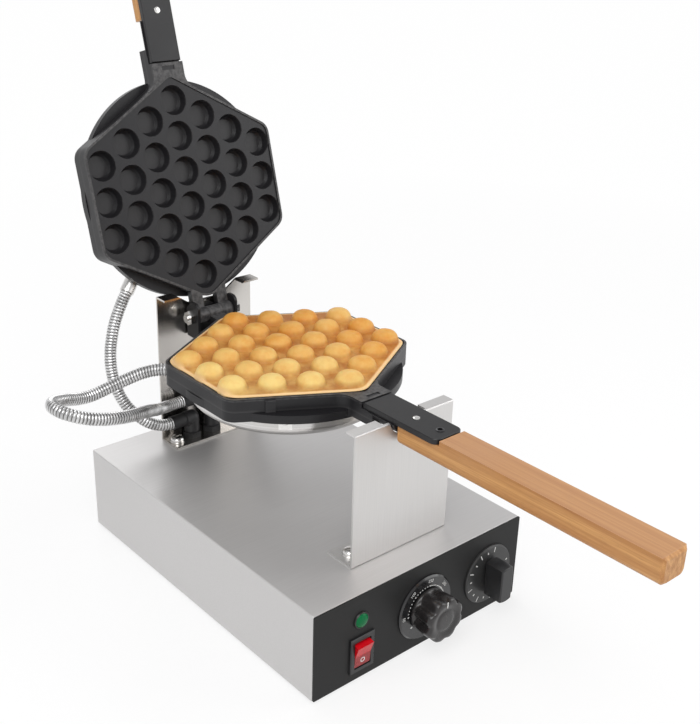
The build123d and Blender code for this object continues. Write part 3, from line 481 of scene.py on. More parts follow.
# ------------------------------------------------------------------ stage
CAMERA_PLACE = (-0.59962, -0.74969, 0.64673)
CAMERA_AXES = (                         # its right, up and back
    (0.75566, -0.65438, 0.02773),
    (0.24742, 0.32441, 0.91298),
    (-0.60643, -0.68304, 0.40706),
)
SENSOR_WIDTH = 36.0                     # millimetres
LAMP_AIM = Vector((0, 0, 0.15))
RIM_SHARE = 0.8                         # the rim light's power, of the fill light's
FLOOR_REACH = 6.0
NEAR, FAR = 0.45, 1.6                   # where the floor begins and ends its way to white
NEAR_WHITE, FAR_WHITE = 0.72, 0.99


def pale(shade):
    return shade, shade, shade * 1.01


def surroundings(work, path):
    """One for rays that look at the surroundings, straight, mirrored or through glass."""
    found = work.maths("MAXIMUM", path["Is Camera Ray"], path["Is Glossy Ray"])
    return work.maths("MAXIMUM", found, path["Is Transmission Ray"])


class WAFFLEMAKER_OT_stage(bpy.types.Operator):
    """Camera, pale floor, soft lamps and an even sky"""
    bl_idname = "waffle_maker.stage"
    bl_label = "Stage"

    def execute(self, context):
        chosen = settings().stage
        context.scene.view_settings.view_transform = "Standard"
        lens = bpy.data.cameras.new("view")
        lens.sensor_width = SENSOR_WIDTH
        lens.lens = chosen.lens
        lens.clip_start = 0.05
        camera = linked("view", lens)
        turned = Matrix(CAMERA_AXES).transposed().to_4x4()
        camera.matrix_world = Matrix.Translation(CAMERA_PLACE) @ turned
        context.scene.camera = camera

        corners = [(x * FLOOR_REACH, y * FLOOR_REACH, 0) for x, y in ((-1, -1), (1, -1), (1, 1), (-1, 1))]
        floor = bpy.data.meshes.new("floor")
        floor.from_pydata(corners, [], [(0, 1, 2, 3)])
        floor.materials.append(self.floor_finish(chosen).material)
        linked("floor", floor)

        self.lamp("key", (-1.1, -1.0, 1.9), 1.6, chosen.key_power)
        self.lamp("fill", (1.5, -1.1, 1.1), 1.4, chosen.fill_power)
        self.lamp("rim", (0.3, 1.6, 1.5), 1.2, chosen.fill_power * RIM_SHARE)
        context.scene.world = self.sky(chosen)
        return {"FINISHED"}

    def lamp(self, name, place, width, power):
        data = bpy.data.lights.new(name, "AREA")
        data.size = width
        data.energy = power
        aim = (LAMP_AIM - Vector(place)).to_track_quat("-Z", "Y")
        linked(name, data).matrix_world = Matrix.Translation(place) @ aim.to_matrix().to_4x4()

    def floor_finish(self, chosen):
        """Pale matt, and whiter with distance for the rays that look at the surroundings."""
        finish = Finish("pale_floor", chosen.floor, roughness=0.9)
        path = finish.tree.nodes.new("ShaderNodeLightPath").outputs
        glow = finish.node("ShaderNodeEmission", {"Color": (1.0, 1.0, 1.0)})
        away = finish.node("ShaderNodeVectorMath", {0: finish.place}, output="Value", operation="LENGTH")
        white = finish.between(away, NEAR, FAR, NEAR_WHITE, FAR_WHITE)
        part = finish.times(surroundings(finish, path), white)
        blend = finish.node("ShaderNodeMixShader", {0: part, 1: finish.shader.outputs[0], 2: glow})
        finish.join(finish.tree.nodes["Material Output"].inputs[0], blend)
        return finish

    def sky(self, chosen):
        """Even light, a second sky that mirrors show, and white for the camera."""
        world = bpy.data.worlds.new("sky")
        world.use_nodes = True
        sky = Nodes(world.node_tree)
        sky.tree.nodes.clear()

        def dome(shade, strength=1.0):
            return sky.node("ShaderNodeBackground", {"Color": shade, "Strength": strength})

        path = sky.tree.nodes.new("ShaderNodeLightPath").outputs
        height = sky.xyz(sky.node("ShaderNodeTexCoord", {}, output="Generated"))[2]
        even = dome(sky.ramp(height, (0.0, pale(0.62)), (0.7, pale(1.0))), chosen.sky)
        mirrored = dome(sky.ramp(height, (0.05, pale(0.97)), (0.42, pale(0.60))))
        mixed = sky.node("ShaderNodeMixShader", {0: surroundings(sky, path), 1: even, 2: mirrored})
        mixed = sky.node("ShaderNodeMixShader", {0: path["Is Camera Ray"], 1: mixed, 2: dome((1, 1, 1))})
        sky.join(sky.tree.nodes.new("ShaderNodeOutputWorld").inputs[0], mixed)
        return world


# ------------------------------------------------------------------ conduits
UPPER_ROUTE = (
    (-0.0758, 0.1786, 0.2508), (-0.0868, 0.1750, 0.2383), (-0.0980, 0.1720, 0.2160),
    (-0.1040, 0.1700, 0.1870), (-0.1030, 0.1640, 0.1590), (-0.0940, 0.1540, 0.1340),
    (-0.0700, 0.1421, 0.1120), (-0.0530, 0.1421, 0.1120),
)
LOWER_ROUTE = (
    (-0.0758, 0.1028, 0.1937), (-0.0868, 0.1158, 0.1937), (-0.1200, 0.1300, 0.1810),
    (-0.1520, 0.1310, 0.1740), (-0.1840, 0.1220, 0.1860), (-0.2050, 0.1010, 0.1950),
    (-0.2000, 0.0770, 0.1930), (-0.1760, 0.0680, 0.1840), (-0.1450, 0.0710, 0.1760),
    (-0.1160, 0.0840, 0.1680), (-0.0920, 0.1060, 0.1540), (-0.0760, 0.1310, 0.1390),
    (-0.0560, 0.1421, 0.1330), (-0.0390, 0.1421, 0.1330),
)
STEPS_PER_RIB = 6.0
# painted shade for the grooves between the ribs
GROOVE_PAINTED_SHADE = (0.12, 0.115, 0.11)


def route_line(name, points):
    """Points along the smooth line of a route."""
    data = bpy.data.curves.new(name, "CURVE")
    data.dimensions = "3D"
    data.resolution_u = 24
    spline = data.splines.new("NURBS")
    spline.points.add(len(points) - 1)
    for made, at in zip(spline.points, points):
        made.co = (*at, 1.0)
    spline.order_u = 3
    spline.use_endpoint_u = True
    return [v.co.copy() for v in final_mesh(linked(name, data)).vertices]


def line_length(points):
    return sum((b - a).length for a, b in zip(points, points[1:]))


class WAFFLEMAKER_OT_conduits(bpy.types.Operator):
    """Two corrugated steel conduits from the pans to the base"""
    bl_idname = "waffle_maker.conduits"
    bl_label = "Conduits"

    def execute(self, context):
        steel = self.finish()
        upper = route_line("upper_route", UPPER_ROUTE)
        half = line_length(upper) * 0.5
        split = next(i for i in range(1, len(upper)) if line_length(upper[:i + 1]) > half)
        first = self.tube("upper_conduit_pan_end", upper[:split + 1], steel, "upper_hose")
        second = self.tube("upper_conduit_base_end", upper[split:], steel, "upper_hose")
        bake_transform(first)
        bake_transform(second)
        lower = route_line("lower_route", LOWER_ROUTE)
        third = self.tube("lower_conduit", lower, steel, "lower_hose")
        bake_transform(third)
        return {"FINISHED"}

    def finish(self):
        """Bright worn ribs, with painted shade in the grooves between them."""
        chosen = settings().steel
        finish = Finish("corrugated_steel", chosen.conduit, metallic=1.0, roughness=0.3)
        worn = finish.mottled(finish.fade(finish.noise(90.0), 0.35, 0.7), chosen.conduit, 0.25)
        # painted shade: the grooves between the ribs are darkened
        finish.put("Base Color", finish.mix(finish.fade(finish.stored("rib"), 0.60, 0.95), worn, GROOVE_PAINTED_SHADE))
        finish.rough(finish.noise(300.0), 0.24, 0.4)
        return finish

    def tube(self, name, line, finish, node):
        chosen = settings().conduit
        work = Growth(name + "_ribs", {
            "Radius": chosen.diameter / 2, "Rib pitch": chosen.rib_pitch, "Rib depth": chosen.rib_depth})
        given = work.given
        path = work.node("GeometryNodeMeshToCurve", {"Mesh": given["Geometry"]})
        step = work.maths("DIVIDE", given["Rib pitch"], STEPS_PER_RIB)
        path = work.node("GeometryNodeResampleCurve", {"Curve": path, "Length": step}, mode="LENGTH")
        along = work.node("GeometryNodeSplineParameter", {}, output="Length")
        turn = work.times(work.maths("DIVIDE", along, given["Rib pitch"]), math.tau)
        wave = work.scaled(work.maths("COSINE", turn), 0.5, 0.5)
        path = work.store(path, "rib", wave)
        radius = work.less(given["Radius"], work.times(wave, given["Rib depth"]))
        ring = work.node("GeometryNodeCurvePrimitiveCircle", {"Resolution": 20, "Radius": 1.0})
        tube = work.node("GeometryNodeCurveToMesh", {
            "Curve": path, "Profile Curve": ring, "Scale": radius, "Fill Caps": True})
        start = points_mesh(name, line, [(i, i + 1) for i in range(len(line) - 1)])
        made = piece(name, work.grow(tube, finish, start, name), node=node)
        return made


# ------------------------------------------------------------------ waffle
ROUND_STEPS = 480                       # grid steps round the waffle
TOP_RINGS, UNDER_RINGS = 140, 44        # grid steps from its middle to its rim
TOP_PROFILE = (                         # a bubble's height by the distance from its middle
    (0.0, 1.0), (0.186, 0.981), (0.379, 0.92), (0.542, 0.80), (0.664, 0.63), (0.748, 0.41),
    (0.797, 0.17), (0.835, 0.012), (1.0, 0.0))
UNDER_PROFILE = (
    (0.0, 0.99), (0.50, 0.985), (0.60, 0.93), (0.72, 0.62), (0.82, 0.12), (0.9, 0.0), (1.0, 0.0))
PROFILE_REACH = 1.2                     # the distance at a profile's end, in bubble radii
WIDTHS = (0.03, 0.972)                  # how much the bubbles differ in width, and the least width
HEIGHTS = (-0.10, 1.0)                  # the same for their height, down from the most
LUMP_SCALE, LUMP_DEPTH = 105.0, 0.22    # dents in the bubbles
RIPPLE_SCALE, RIPPLE_HEIGHT = 55.0, 0.0007
CORNER_ROUND = 0.016                    # rounding of the hexagon's corners
FADE_BAND, FADE_POWER = 0.035, 0.6      # share of the way out in which bubbles die away, and how
RIM_POWER = 60.0                        # how tightly the rim rounds over
SEAM = 0.00008                          # reach that joins the two faces at the rim


class WAFFLEMAKER_OT_waffle(bpy.types.Operator):
    """The baked waffle: a thin web and thirty round cells"""
    bl_idname = "waffle_maker.waffle"
    bl_label = "Waffle"

    def execute(self, context):
        chosen = settings().waffle
        row = chosen.pitch * math.cos(math.pi / 6)
        cells = [((i - j) * row, PAN_CENTRE + ((i + j) / 2 - 2.5) * chosen.pitch, AXIS_Z)
                 for i in range(6) for j in range(6) if abs(i - j) <= 3]
        work = Growth("waffle_cells", {
            "Bubble radius": chosen.radius, "Bubble height": chosen.rise, "Web": chosen.web,
            "Side reach": chosen.side_reach, "Slope reach": chosen.slope_reach, "Seed": 7})
        joined = work.tree.nodes.new("GeometryNodeJoinGeometry")
        work.join(joined.inputs[0], self.half(work, TOP_RINGS, TOP_PROFILE, 1.0))
        work.join(joined.inputs[0], self.half(work, UNDER_RINGS, UNDER_PROFILE, -1.0))
        closed = work.node("GeometryNodeMergeByDistance", {
            "Geometry": joined.outputs[0], "Distance": SEAM})
        mesh = work.grow(closed, self.finish(chosen), points_mesh("waffle", cells), "waffle")
        piece("waffle", mesh, "waffle", node="egg_waffle")
        return {"FINISHED"}

    def half(self, work, rings, profile, up):
        """One face of the waffle: a round grid drawn out to the hexagon, raised at each cell."""
        given = work.given
        grid = work.node("GeometryNodeMeshGrid", {
            "Size X": 1.0, "Size Y": 1.0, "Vertices X": rings + 1, "Vertices Y": ROUND_STEPS + 1})
        across, along, _ = work.xyz(work.node("GeometryNodeInputPosition", {}))
        out = work.maths("ADD", across, 0.5)
        angle = work.times(work.maths("ADD", along, 0.5), math.tau)
        sides = []
        for turn, reach in ((0.0, "Side reach"), (math.pi / 3, "Slope reach"), (-math.pi / 3, "Slope reach")):
            lean = work.maths("ABSOLUTE", work.maths("COSINE", work.maths("ADD", angle, turn)))
            sides.append(work.maths("DIVIDE", given[reach], work.maths("MAXIMUM", lean, 0.05)))
        hexagon = work.maths("SMOOTH_MIN", sides[0], sides[1], CORNER_ROUND)
        far = work.times(out, work.maths("SMOOTH_MIN", hexagon, sides[2], CORNER_ROUND))
        x = work.times(far, work.maths("COSINE", angle))
        y = work.scaled(far, work.maths("SINE", angle), PAN_CENTRE)
        flat = work.node("ShaderNodeCombineXYZ", {0: x, 1: y, 2: AXIS_Z})

        near = {0: given["Geometry"], "Sample Position": flat}
        distance = work.node("GeometryNodeProximity", near, output="Distance", target_element="POINTS")
        cell = work.node("GeometryNodeSampleNearest", near)
        vary = work.node("FunctionNodeRandomValue", {
            "Min": 0.0, "Max": 1.0, "ID": cell, "Seed": given["Seed"]}, output="Value", data_type="FLOAT")
        wide = work.times(given["Bubble radius"], PROFILE_REACH, work.scaled(vary, *WIDTHS))
        rise = work.curve(work.maths("MINIMUM", work.maths("DIVIDE", distance, wide), 1.0), profile)
        inner = work.maths("MINIMUM", work.maths("DIVIDE", work.less(1.0, out), FADE_BAND), 1.0)
        rise = work.times(rise, work.maths("POWER", inner, FADE_POWER))
        lump = work.less(work.noise(LUMP_SCALE, 1.0, flat), 0.5)
        lump = work.maths("MINIMUM", work.scaled(lump, LUMP_DEPTH, 1.0), 1.0)
        height = work.times(rise, given["Bubble height"], work.scaled(vary, *HEIGHTS), lump)
        rim = work.maths("POWER", work.less(1.0, work.maths("POWER", out, RIM_POWER)), 0.5)
        web = work.times(given["Web"], 0.5, rim)
        ripple = work.times(work.less(work.noise(RIPPLE_SCALE, 3.0, flat), 0.5), RIPPLE_HEIGHT)
        ripple = work.times(ripple, work.times(rim, work.less(1.0, rise)))
        total = work.maths("ADD", work.maths("ADD", height, web), ripple)
        placed = work.node("ShaderNodeCombineXYZ", {0: x, 1: y, 2: work.scaled(total, up, AXIS_Z)})

        for name, value in (("crown", rise), ("tone", vary), ("outward", out)):
            grid = work.store(grid, name, value)
        shaped = work.node("GeometryNodeSetPosition", {"Geometry": grid, "Position": placed})
        return work.node("GeometryNodeFlipFaces", {"Mesh": shaped}) if up < 0 else shaped

    def finish(self, chosen):
        """Paler towards the front, golden on the bubbles, painted shade in the creases and down the bubbles'
        sides, pale at the rim.
        """
        finish = Finish("baked_crust", chosen.golden, roughness=0.55, specular_ior_level=0.3,
                        subsurface_weight=0.12, subsurface_scale=0.003)
        finish.put("Subsurface Radius", (1.0, 0.45, 0.2))
        crown = finish.stored("crown")
        x, y, _ = finish.xyz(finish.place)
        back = finish.between(finish.scaled(x, 0.6, finish.times(y, 0.8)), -0.085, 0.02)
        cloud = finish.noise(38.0, detail=5.0)
        patch = finish.fade(finish.noise(120.0, roughness=0.6), 0.35, 0.68)
        bake = finish.scaled(cloud, 0.85, finish.scaled(finish.stored("tone"), 0.34, -0.60))
        bake = finish.maths("ADD", finish.scaled(patch, 0.30, bake), finish.times(back, 0.58))
        crust = finish.mix(bake, chosen.pale, chosen.golden)
        # painted shade in the creases between the bubbles and down their sides
        crease = finish.ramp(crown, (0.0, 1.0), (0.13, 0.80), (0.50, 0.0))
        crease = finish.times(crease, finish.fade(finish.noise(70.0), 0.3, 0.65, 0.4, 1.0), 0.82)
        crust = finish.mix(crease, crust, chosen.toasted)
        rim = finish.fade(finish.stored("outward"), 0.958, 0.975, 0.0, 0.85)
        rim = finish.times(rim, finish.fade(crown, 0.0, 0.5, 1.0, 0.2))
        finish.put("Base Color", finish.mix(rim, crust, chosen.edge))
        finish.rough(cloud, 0.42, 0.62)
        pores = finish.node("ShaderNodeTexVoronoi", {"Vector": finish.place, "Scale": 420.0})
        first = finish.bump(finish.noise(900.0, detail=3.0), 0.00025, 0.5)
        finish.bump(finish.fade(pores, 0.0, 0.35), 0.0002, 0.35, after=first)
        return finish


# ------------------------------------------------------------------ sheet steel
ALONG_X = (14, 900, 900)                # grain scales that draw its lines along X, or upright
UPRIGHT = (900, 14, 14)
SCUFFS = (60, 25, 40)
POLISHED = (0.64, 0.615, 0.585)


def satin_steel(name, base, roughness, across, cloud_scale=9.0, metallic=1.0):
    """Rolled or turned steel: fine lines, faint clouds and small scuffs."""
    spread = 0.035
    finish = Finish(name, base, metallic=metallic, roughness=roughness)
    lines = finish.noise(1.0, detail=3.0, vector=finish.stretched(across))
    cloud = finish.noise(cloud_scale, detail=5.0)
    tone = finish.mottled(finish.fade(lines, 0.3, 0.7), base, spread)
    tone = finish.mix(finish.times(finish.fade(cloud, 0.35, 0.7), 0.5), tone, base)
    scuff = finish.node("ShaderNodeTexVoronoi", {"Vector": finish.stretched(SCUFFS), "Scale": 1.0})
    scuff = finish.times(finish.fade(scuff, 0.0, 0.035, 1.0, 0.0), 0.25)
    finish.put("Base Color", finish.mix(scuff, tone, darker(base, spread)))
    rough = finish.scaled(lines, 0.08, roughness - 0.04)
    finish.put("Roughness", finish.scaled(cloud, 0.06, rough))
    finish.bump(lines, 0.00001, 0.25)
    return finish


class WAFFLEMAKER_OT_steelwork(bpy.types.Operator):
    """Base housing, bottom plate and the two folded stands, in stainless sheet, and the rubber feet"""
    bl_idname = "waffle_maker.steelwork"
    bl_label = "Sheet steel"

    def execute(self, context):
        chosen = settings().steel
        rough = chosen.sheet_roughness
        dress(satin_steel("satin_steel_base", chosen.sheet, rough, ALONG_X, metallic=0.7),
              "base_housing", "bottom_plate")
        dress(satin_steel("satin_steel_stand", chosen.stand, rough, UPRIGHT), "front_stand")
        dress(satin_steel("polished_steel_stand", POLISHED, 0.19, UPRIGHT), "rear_stand")
        rubber = Finish("foot_rubber", (0.022, 0.022, 0.023), roughness=0.8, specular_ior_level=0.3)
        grain = rubber.noise(700.0)
        rubber.rough(grain, 0.7, 0.92)
        rubber.put("Base Color", rubber.mix(rubber.noise(60.0), (0.018, 0.018, 0.019), (0.035, 0.034, 0.033)))
        rubber.bump(grain, 0.0001, 0.4)
        dress(rubber, "rubber_feet")
        return {"FINISHED"}


# ------------------------------------------------------------------ castings
# Heights in a pan's own frame, where 0 is the face on which the two pans meet.
RAISED_RIM_Z = (-0.0013, 0.0)           # the raised rim, worn and with a painted highlight at its top
MOUTH_Z = (-0.0030, -0.0018)            # the cups' rounded mouths, worn and with a painted highlight up to the level of the face
FACE_Z = (-0.00165, -0.00155)
CUP_FLOOR_Z = (-0.0127, -0.0108)        # the cups' paler floors
BELOW_FLOOR_Z = (-0.0131, -0.0129)


class WAFFLEMAKER_OT_castings(bpy.types.Operator):
    """The two cast plates under their non-stick coating"""
    bl_idname = "waffle_maker.castings"
    bl_label = "Castings"

    def execute(self, context):
        dress(self.coating("coating_lower", False), "lower_plate")
        dress(self.coating("coating_upper", True), "upper_plate")
        return {"FINISHED"}

    def coating(self, name, upper):
        """Matt black, paler on the cups' floors, and worn with a painted highlight along the rim and the
        cups' mouths.
        """
        chosen = settings().casting
        rough = chosen.roughness
        finish = Finish(name, chosen.coating, roughness=rough, specular_ior_level=0.36)
        where = finish.pan_place(upper)
        cloud = finish.noise(22.0, detail=6.0, vector=where)
        skin = finish.noise(260.0, detail=3.0, vector=where)
        tone = finish.mottled(finish.fade(cloud, 0.35, 0.65), chosen.coating, 0.14)
        height = finish.xyz(where)[2]
        rim = finish.fade(finish.between(height, *RAISED_RIM_Z), 0.3, 0.75)
        floor = finish.between(height, *CUP_FLOOR_Z, 1.0, 0.0)
        inside = finish.between(height, *BELOW_FLOOR_Z)
        tone = finish.mix(finish.times(floor, inside, 0.85), tone, chosen.floor)
        mouth = finish.times(finish.between(height, *MOUTH_Z), finish.between(height, *FACE_Z, 0.75, 0.0))
        rim = finish.maths("MAXIMUM", rim, mouth)
        # wear and painted highlight along the rim and the cups' mouths
        rubbed_and_highlit = finish.times(rim, finish.fade(skin, 0.35, 0.6, 0.25, 0.9))
        finish.put("Base Color", finish.mix(rubbed_and_highlit, tone, chosen.worn))
        finish.rough(cloud, rough - 0.03, rough + 0.04)
        first = finish.bump(skin, 0.00012, 0.55)
        finish.bump(finish.noise(1400.0, detail=2.0, vector=where), 0.00004, 0.5, after=first)
        return finish


# ------------------------------------------------------------------ covers
STAIN = (0.48, 0.42, 0.34)


class WAFFLEMAKER_OT_covers(bpy.types.Operator):
    """Spun heater covers with their clips, glands, heating elements and insulation"""
    bl_idname = "waffle_maker.covers"
    bl_label = "Heater covers"

    def execute(self, context):
        chosen = settings().steel
        dress(self.spun("lower_spun_cover", chosen.cover, False), "lower_heater_cover")
        dress(self.spun("upper_spun_cover", chosen.cover, True), "upper_heater_cover")
        dress(satin_steel("bright_clips", chosen.bright, 0.22, (500, 500, 500), 60.0), *both("cover_clips"))
        dress(satin_steel("gland_steel", chosen.bright, 0.26, (300, 300, 300), 90.0), *both("hose_gland"))
        oxide = Finish("oxidised_heater", (0.20, 0.17, 0.15), metallic=0.8)
        heat = oxide.noise(30.0, detail=5.0)
        tone = oxide.mix(oxide.fade(heat, 0.3, 0.7), (0.11, 0.09, 0.09), (0.30, 0.24, 0.19))
        oxide.put("Base Color", tone)
        oxide.rough(heat, 0.4, 0.65)
        dress(oxide, *both("heating_element"))
        fibre = Finish("ceramic_fibre", (0.82, 0.80, 0.74), roughness=0.95, sheen_weight=0.2)
        strands = fibre.noise(1.0, detail=6.0, vector=fibre.stretched((240, 700, 400)), distortion=1.5)
        fibre.put("Base Color", fibre.mix(strands, (0.70, 0.67, 0.60), (0.90, 0.88, 0.83)))
        fibre.bump(strands, 0.0006, 0.7)
        dress(fibre, *both("insulation_pad"))
        return {"FINISHED"}

    def spun(self, name, base, upper):
        """Polished dish with faint turning rings about its own middle."""
        finish = Finish(name, base, metallic=1.0, roughness=0.16)
        where = finish.pan_place(upper)
        x, y, z = finish.xyz(where)
        along = finish.maths("ADD", y, AXIS_Y - PAN_CENTRE)
        squares = [finish.maths("POWER", finish.maths("ABSOLUTE", side), 2.0) for side in (x, along)]
        out = finish.maths("SQRT", finish.maths("ADD", *squares))
        flat = finish.node("ShaderNodeCombineXYZ", {"X": out, "Y": z, "Z": 0.0})
        rings = finish.noise(900.0, detail=2.0, vector=flat)
        cloud = finish.noise(24.0, detail=5.0, vector=where)
        tone = finish.mottled(finish.fade(rings, 0.3, 0.7), base, 0.14)
        finish.put("Base Color", finish.mix(finish.fade(cloud, 0.5, 0.75, 0.0, 0.5), tone, STAIN))
        finish.put("Roughness", finish.scaled(cloud, 0.22, 0.08))
        finish.bump(rings, 0.00003, 0.6)
        return finish


# ------------------------------------------------------------------ handles and hinge
PORE = (0.16, 0.07, 0.03)
SAWN_PINK = (0.49, 0.27, 0.15)
SAWN_BAND = (0.0006, 0.0001)            # below the grip's flat face, where the pink tone begins
WANDER, PULL = (6, 1.3, 6), (0.012, 0.0, 0.012)     # how the growth bands stray, per metre and by how much
STREAKS, PORES = (1500, 16, 1500), (2600, 90, 2600)
RING_TURN = (0, 0.5, 0)


def enamel(name, roughness):
    """Black paint over steel, a little orange-peel and dulled where it is handled."""
    finish = Finish(name, (0.010, 0.010, 0.011), roughness=roughness, specular_ior_level=0.42)
    cloud = finish.noise(26.0)
    finish.put("Base Color", finish.mix(cloud, (0.007, 0.007, 0.008), (0.015, 0.0145, 0.0155)))
    finish.rough(cloud, roughness - 0.05, roughness + 0.1)
    finish.bump(finish.noise(420.0, detail=2.0), 0.00005, 0.4)
    return finish


class WAFFLEMAKER_OT_handles(bpy.types.Operator):
    """Oak grips and their black steel straps"""
    bl_idname = "waffle_maker.handles"
    bl_label = "Handles"

    def execute(self, context):
        dress(self.oak("oak_lower", False), "lower_handle_grip")
        dress(self.oak("oak_upper", True), "upper_handle_grip")
        dress(enamel("satin_black_strap", 0.36), *both("handle_strap"))
        return {"FINISHED"}

    def oak(self, name, upper):
        """Sawn along the grain: long streaks, growth bands, short open pores and a pinker flat face."""
        chosen = settings().wood
        finish = Finish(name, chosen.light, roughness=0.46, specular_ior_level=0.3, coat_weight=0.05)
        where = finish.pan_place(upper)
        bend = finish.noise(1.0, 2.0, finish.stretched(WANDER, where), output="Color")
        bent = finish.vectors("ADD", where, finish.vectors("MULTIPLY", bend, PULL))
        rings = (chosen.ring_scale, 1.2, chosen.ring_scale * 0.55)
        bands = finish.noise(3.0, vector=finish.stretched(rings, bent, RING_TURN), roughness=0.6)
        streaks = finish.noise(1.0, vector=finish.stretched(STREAKS, bent))
        pores = finish.noise(1.0, 2.0, finish.stretched(PORES, bent))
        banded = finish.ramp(bands, (0.32, 0.0), (0.48, 0.55), (0.68, 1.0))
        grain = finish.mix(banded, chosen.light, chosen.dark)
        grain = finish.mix(finish.times(finish.fade(streaks, 0.42, 0.66), 0.5), grain, chosen.dark)
        holes = finish.fade(pores, 0.62, 0.72)
        grain = finish.mix(finish.times(holes, 0.45), grain, PORE)
        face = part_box("lower_handle_grip")[1][2] - AXIS_Z
        sawn = finish.between(finish.xyz(where)[2], *(face - depth for depth in SAWN_BAND), 0.0, 0.5)
        cloud = finish.noise(9.0, detail=3.0, vector=where)
        pink = finish.scaled(finish.fade(cloud, 0.35, 0.7), 0.2, sawn)
        finish.put("Base Color", finish.mix(pink, grain, SAWN_PINK))
        finish.rough(bands, 0.36, 0.52)
        first = finish.bump(streaks, 0.00008, 0.4)
        finish.bump(finish.less(1.0, holes), 0.00008, 0.5, after=first)
        return finish


class WAFFLEMAKER_OT_hinge(bpy.types.Operator):
    """Hinge yoke, pin and turning stud"""
    bl_idname = "waffle_maker.hinge"
    bl_label = "Hinge"

    def execute(self, context):
        dress(enamel("satin_black_yoke", 0.40), "hinge_yoke")
        bright = satin_steel("bright_hinge_steel", settings().steel.bright, 0.2, (260, 900, 900), 70.0)
        dress(bright, "hinge_pin", "hinge_nut", "pivot_washer", "pivot_nut")
        dress(satin_steel("bush_steel", (0.16, 0.155, 0.15), 0.38, (700, 40, 700), 50.0), "pivot_bush")
        return {"FINISHED"}


# ------------------------------------------------------------------ controls
PANEL_FACE = -0.1815                    # faces along Y
DIAL_FACE = -0.1845
DIAL_Z = 0.043
THERMOSTAT_X, TIMER_X = 0.002, 0.084
LAMP_X, LAMP_Z = -0.074, 0.064
LAMP_RIM = (
    (0.0066, 0.0), (0.0080, 0.0), (0.0080, 0.0011), (0.0076, 0.0016), (0.0069, 0.0016),
    (0.0066, 0.0012), (0.0066, 0.0))
LENS_FOOT, LENS_BAND, LENS_RISE = 0.0001, 0.0012, 0.0028
LENS_RADIUS, LENS_STEPS = 0.0068, 12
ROCKER_PIVOT = (-0.0725, -0.1795, 0.030)
ROCKER_TILT = math.radians(12)
ROCKER_SPLIT_Z = (0.0280, 0.0295)       # between its pressed half and the other
OFF_RING = ((0.0017, 0.0), (0.0017, 0.00018), (0.0025, 0.00018), (0.0025, 0.0), (0.0017, 0.0))
OFF_PLACE = (0, -0.00568, -0.0056)      # from the pivot, in the rocker's own frame
OFF_LEAN = math.radians(90 - 6.9)
KNOB_GAP = 0.0006
KNOB_PROFILE = (                        # radius, height and depth of the flutes
    (0.0036, 0.0, 0.0), (0.0196, 0.0, 0.0), (0.0203, 0.0006, 0.0), (0.0203, 0.0026, 0.0),
    (0.0199, 0.0032, 0.01), (0.0200, 0.0040, 0.07), (0.0208, 0.0056, 0.13), (0.0214, 0.0100, 0.14),
    (0.0219, 0.0160, 0.14), (0.0220, 0.0205, 0.135), (0.0215, 0.0229, 0.12), (0.0204, 0.0243, 0.10),
    (0.0186, 0.0250, 0.07), (0.0160, 0.0249, 0.03), (0.0135, 0.0243, 0.0), (0.0118, 0.0237, 0.0),
    (0.0106, 0.0236, 0.0), (0.0100, 0.0239, 0.0), (0.0094, 0.0243, 0.0), (0.0070, 0.0245, 0.0),
    (0.0035, 0.0246, 0.0), (0.0, 0.0246, 0.0))
INDEX_SIZE = (0.0012, 0.0060, 0.0002)
INDEX_MIDDLE = (0, 0.0170, 0.02497)


def front(x, y, z):
    """A frame on the front, with +Z out of the panel and +Y up."""
    return Matrix.Translation((x, y, z)) @ Matrix.Rotation(math.pi / 2, 4, "X")


def moulded(name, base, roughness, spread=0.3, grain=520.0, **more):
    """Moulded plastic: faint flow clouds, fine spark grain and handling marks."""
    finish = Finish(name, base, roughness=roughness, **more)
    cloud = finish.noise(34.0, detail=5.0)
    finish.put("Base Color", finish.mottled(finish.fade(cloud, 0.35, 0.7), base, spread))
    finish.rough(cloud, max(roughness - 0.06, 0.03), roughness + 0.08)
    finish.bump(finish.noise(grain, detail=2.0), 0.00004, 0.35)
    return finish


def ink(name):
    """White print, a little uneven."""
    marking = settings().control.marking
    finish = Finish(name, marking)
    finish.put("Base Color", finish.mottled(finish.noise(500.0), marking, 0.08))
    finish.rough(finish.noise(240.0), 0.42, 0.6)
    return finish


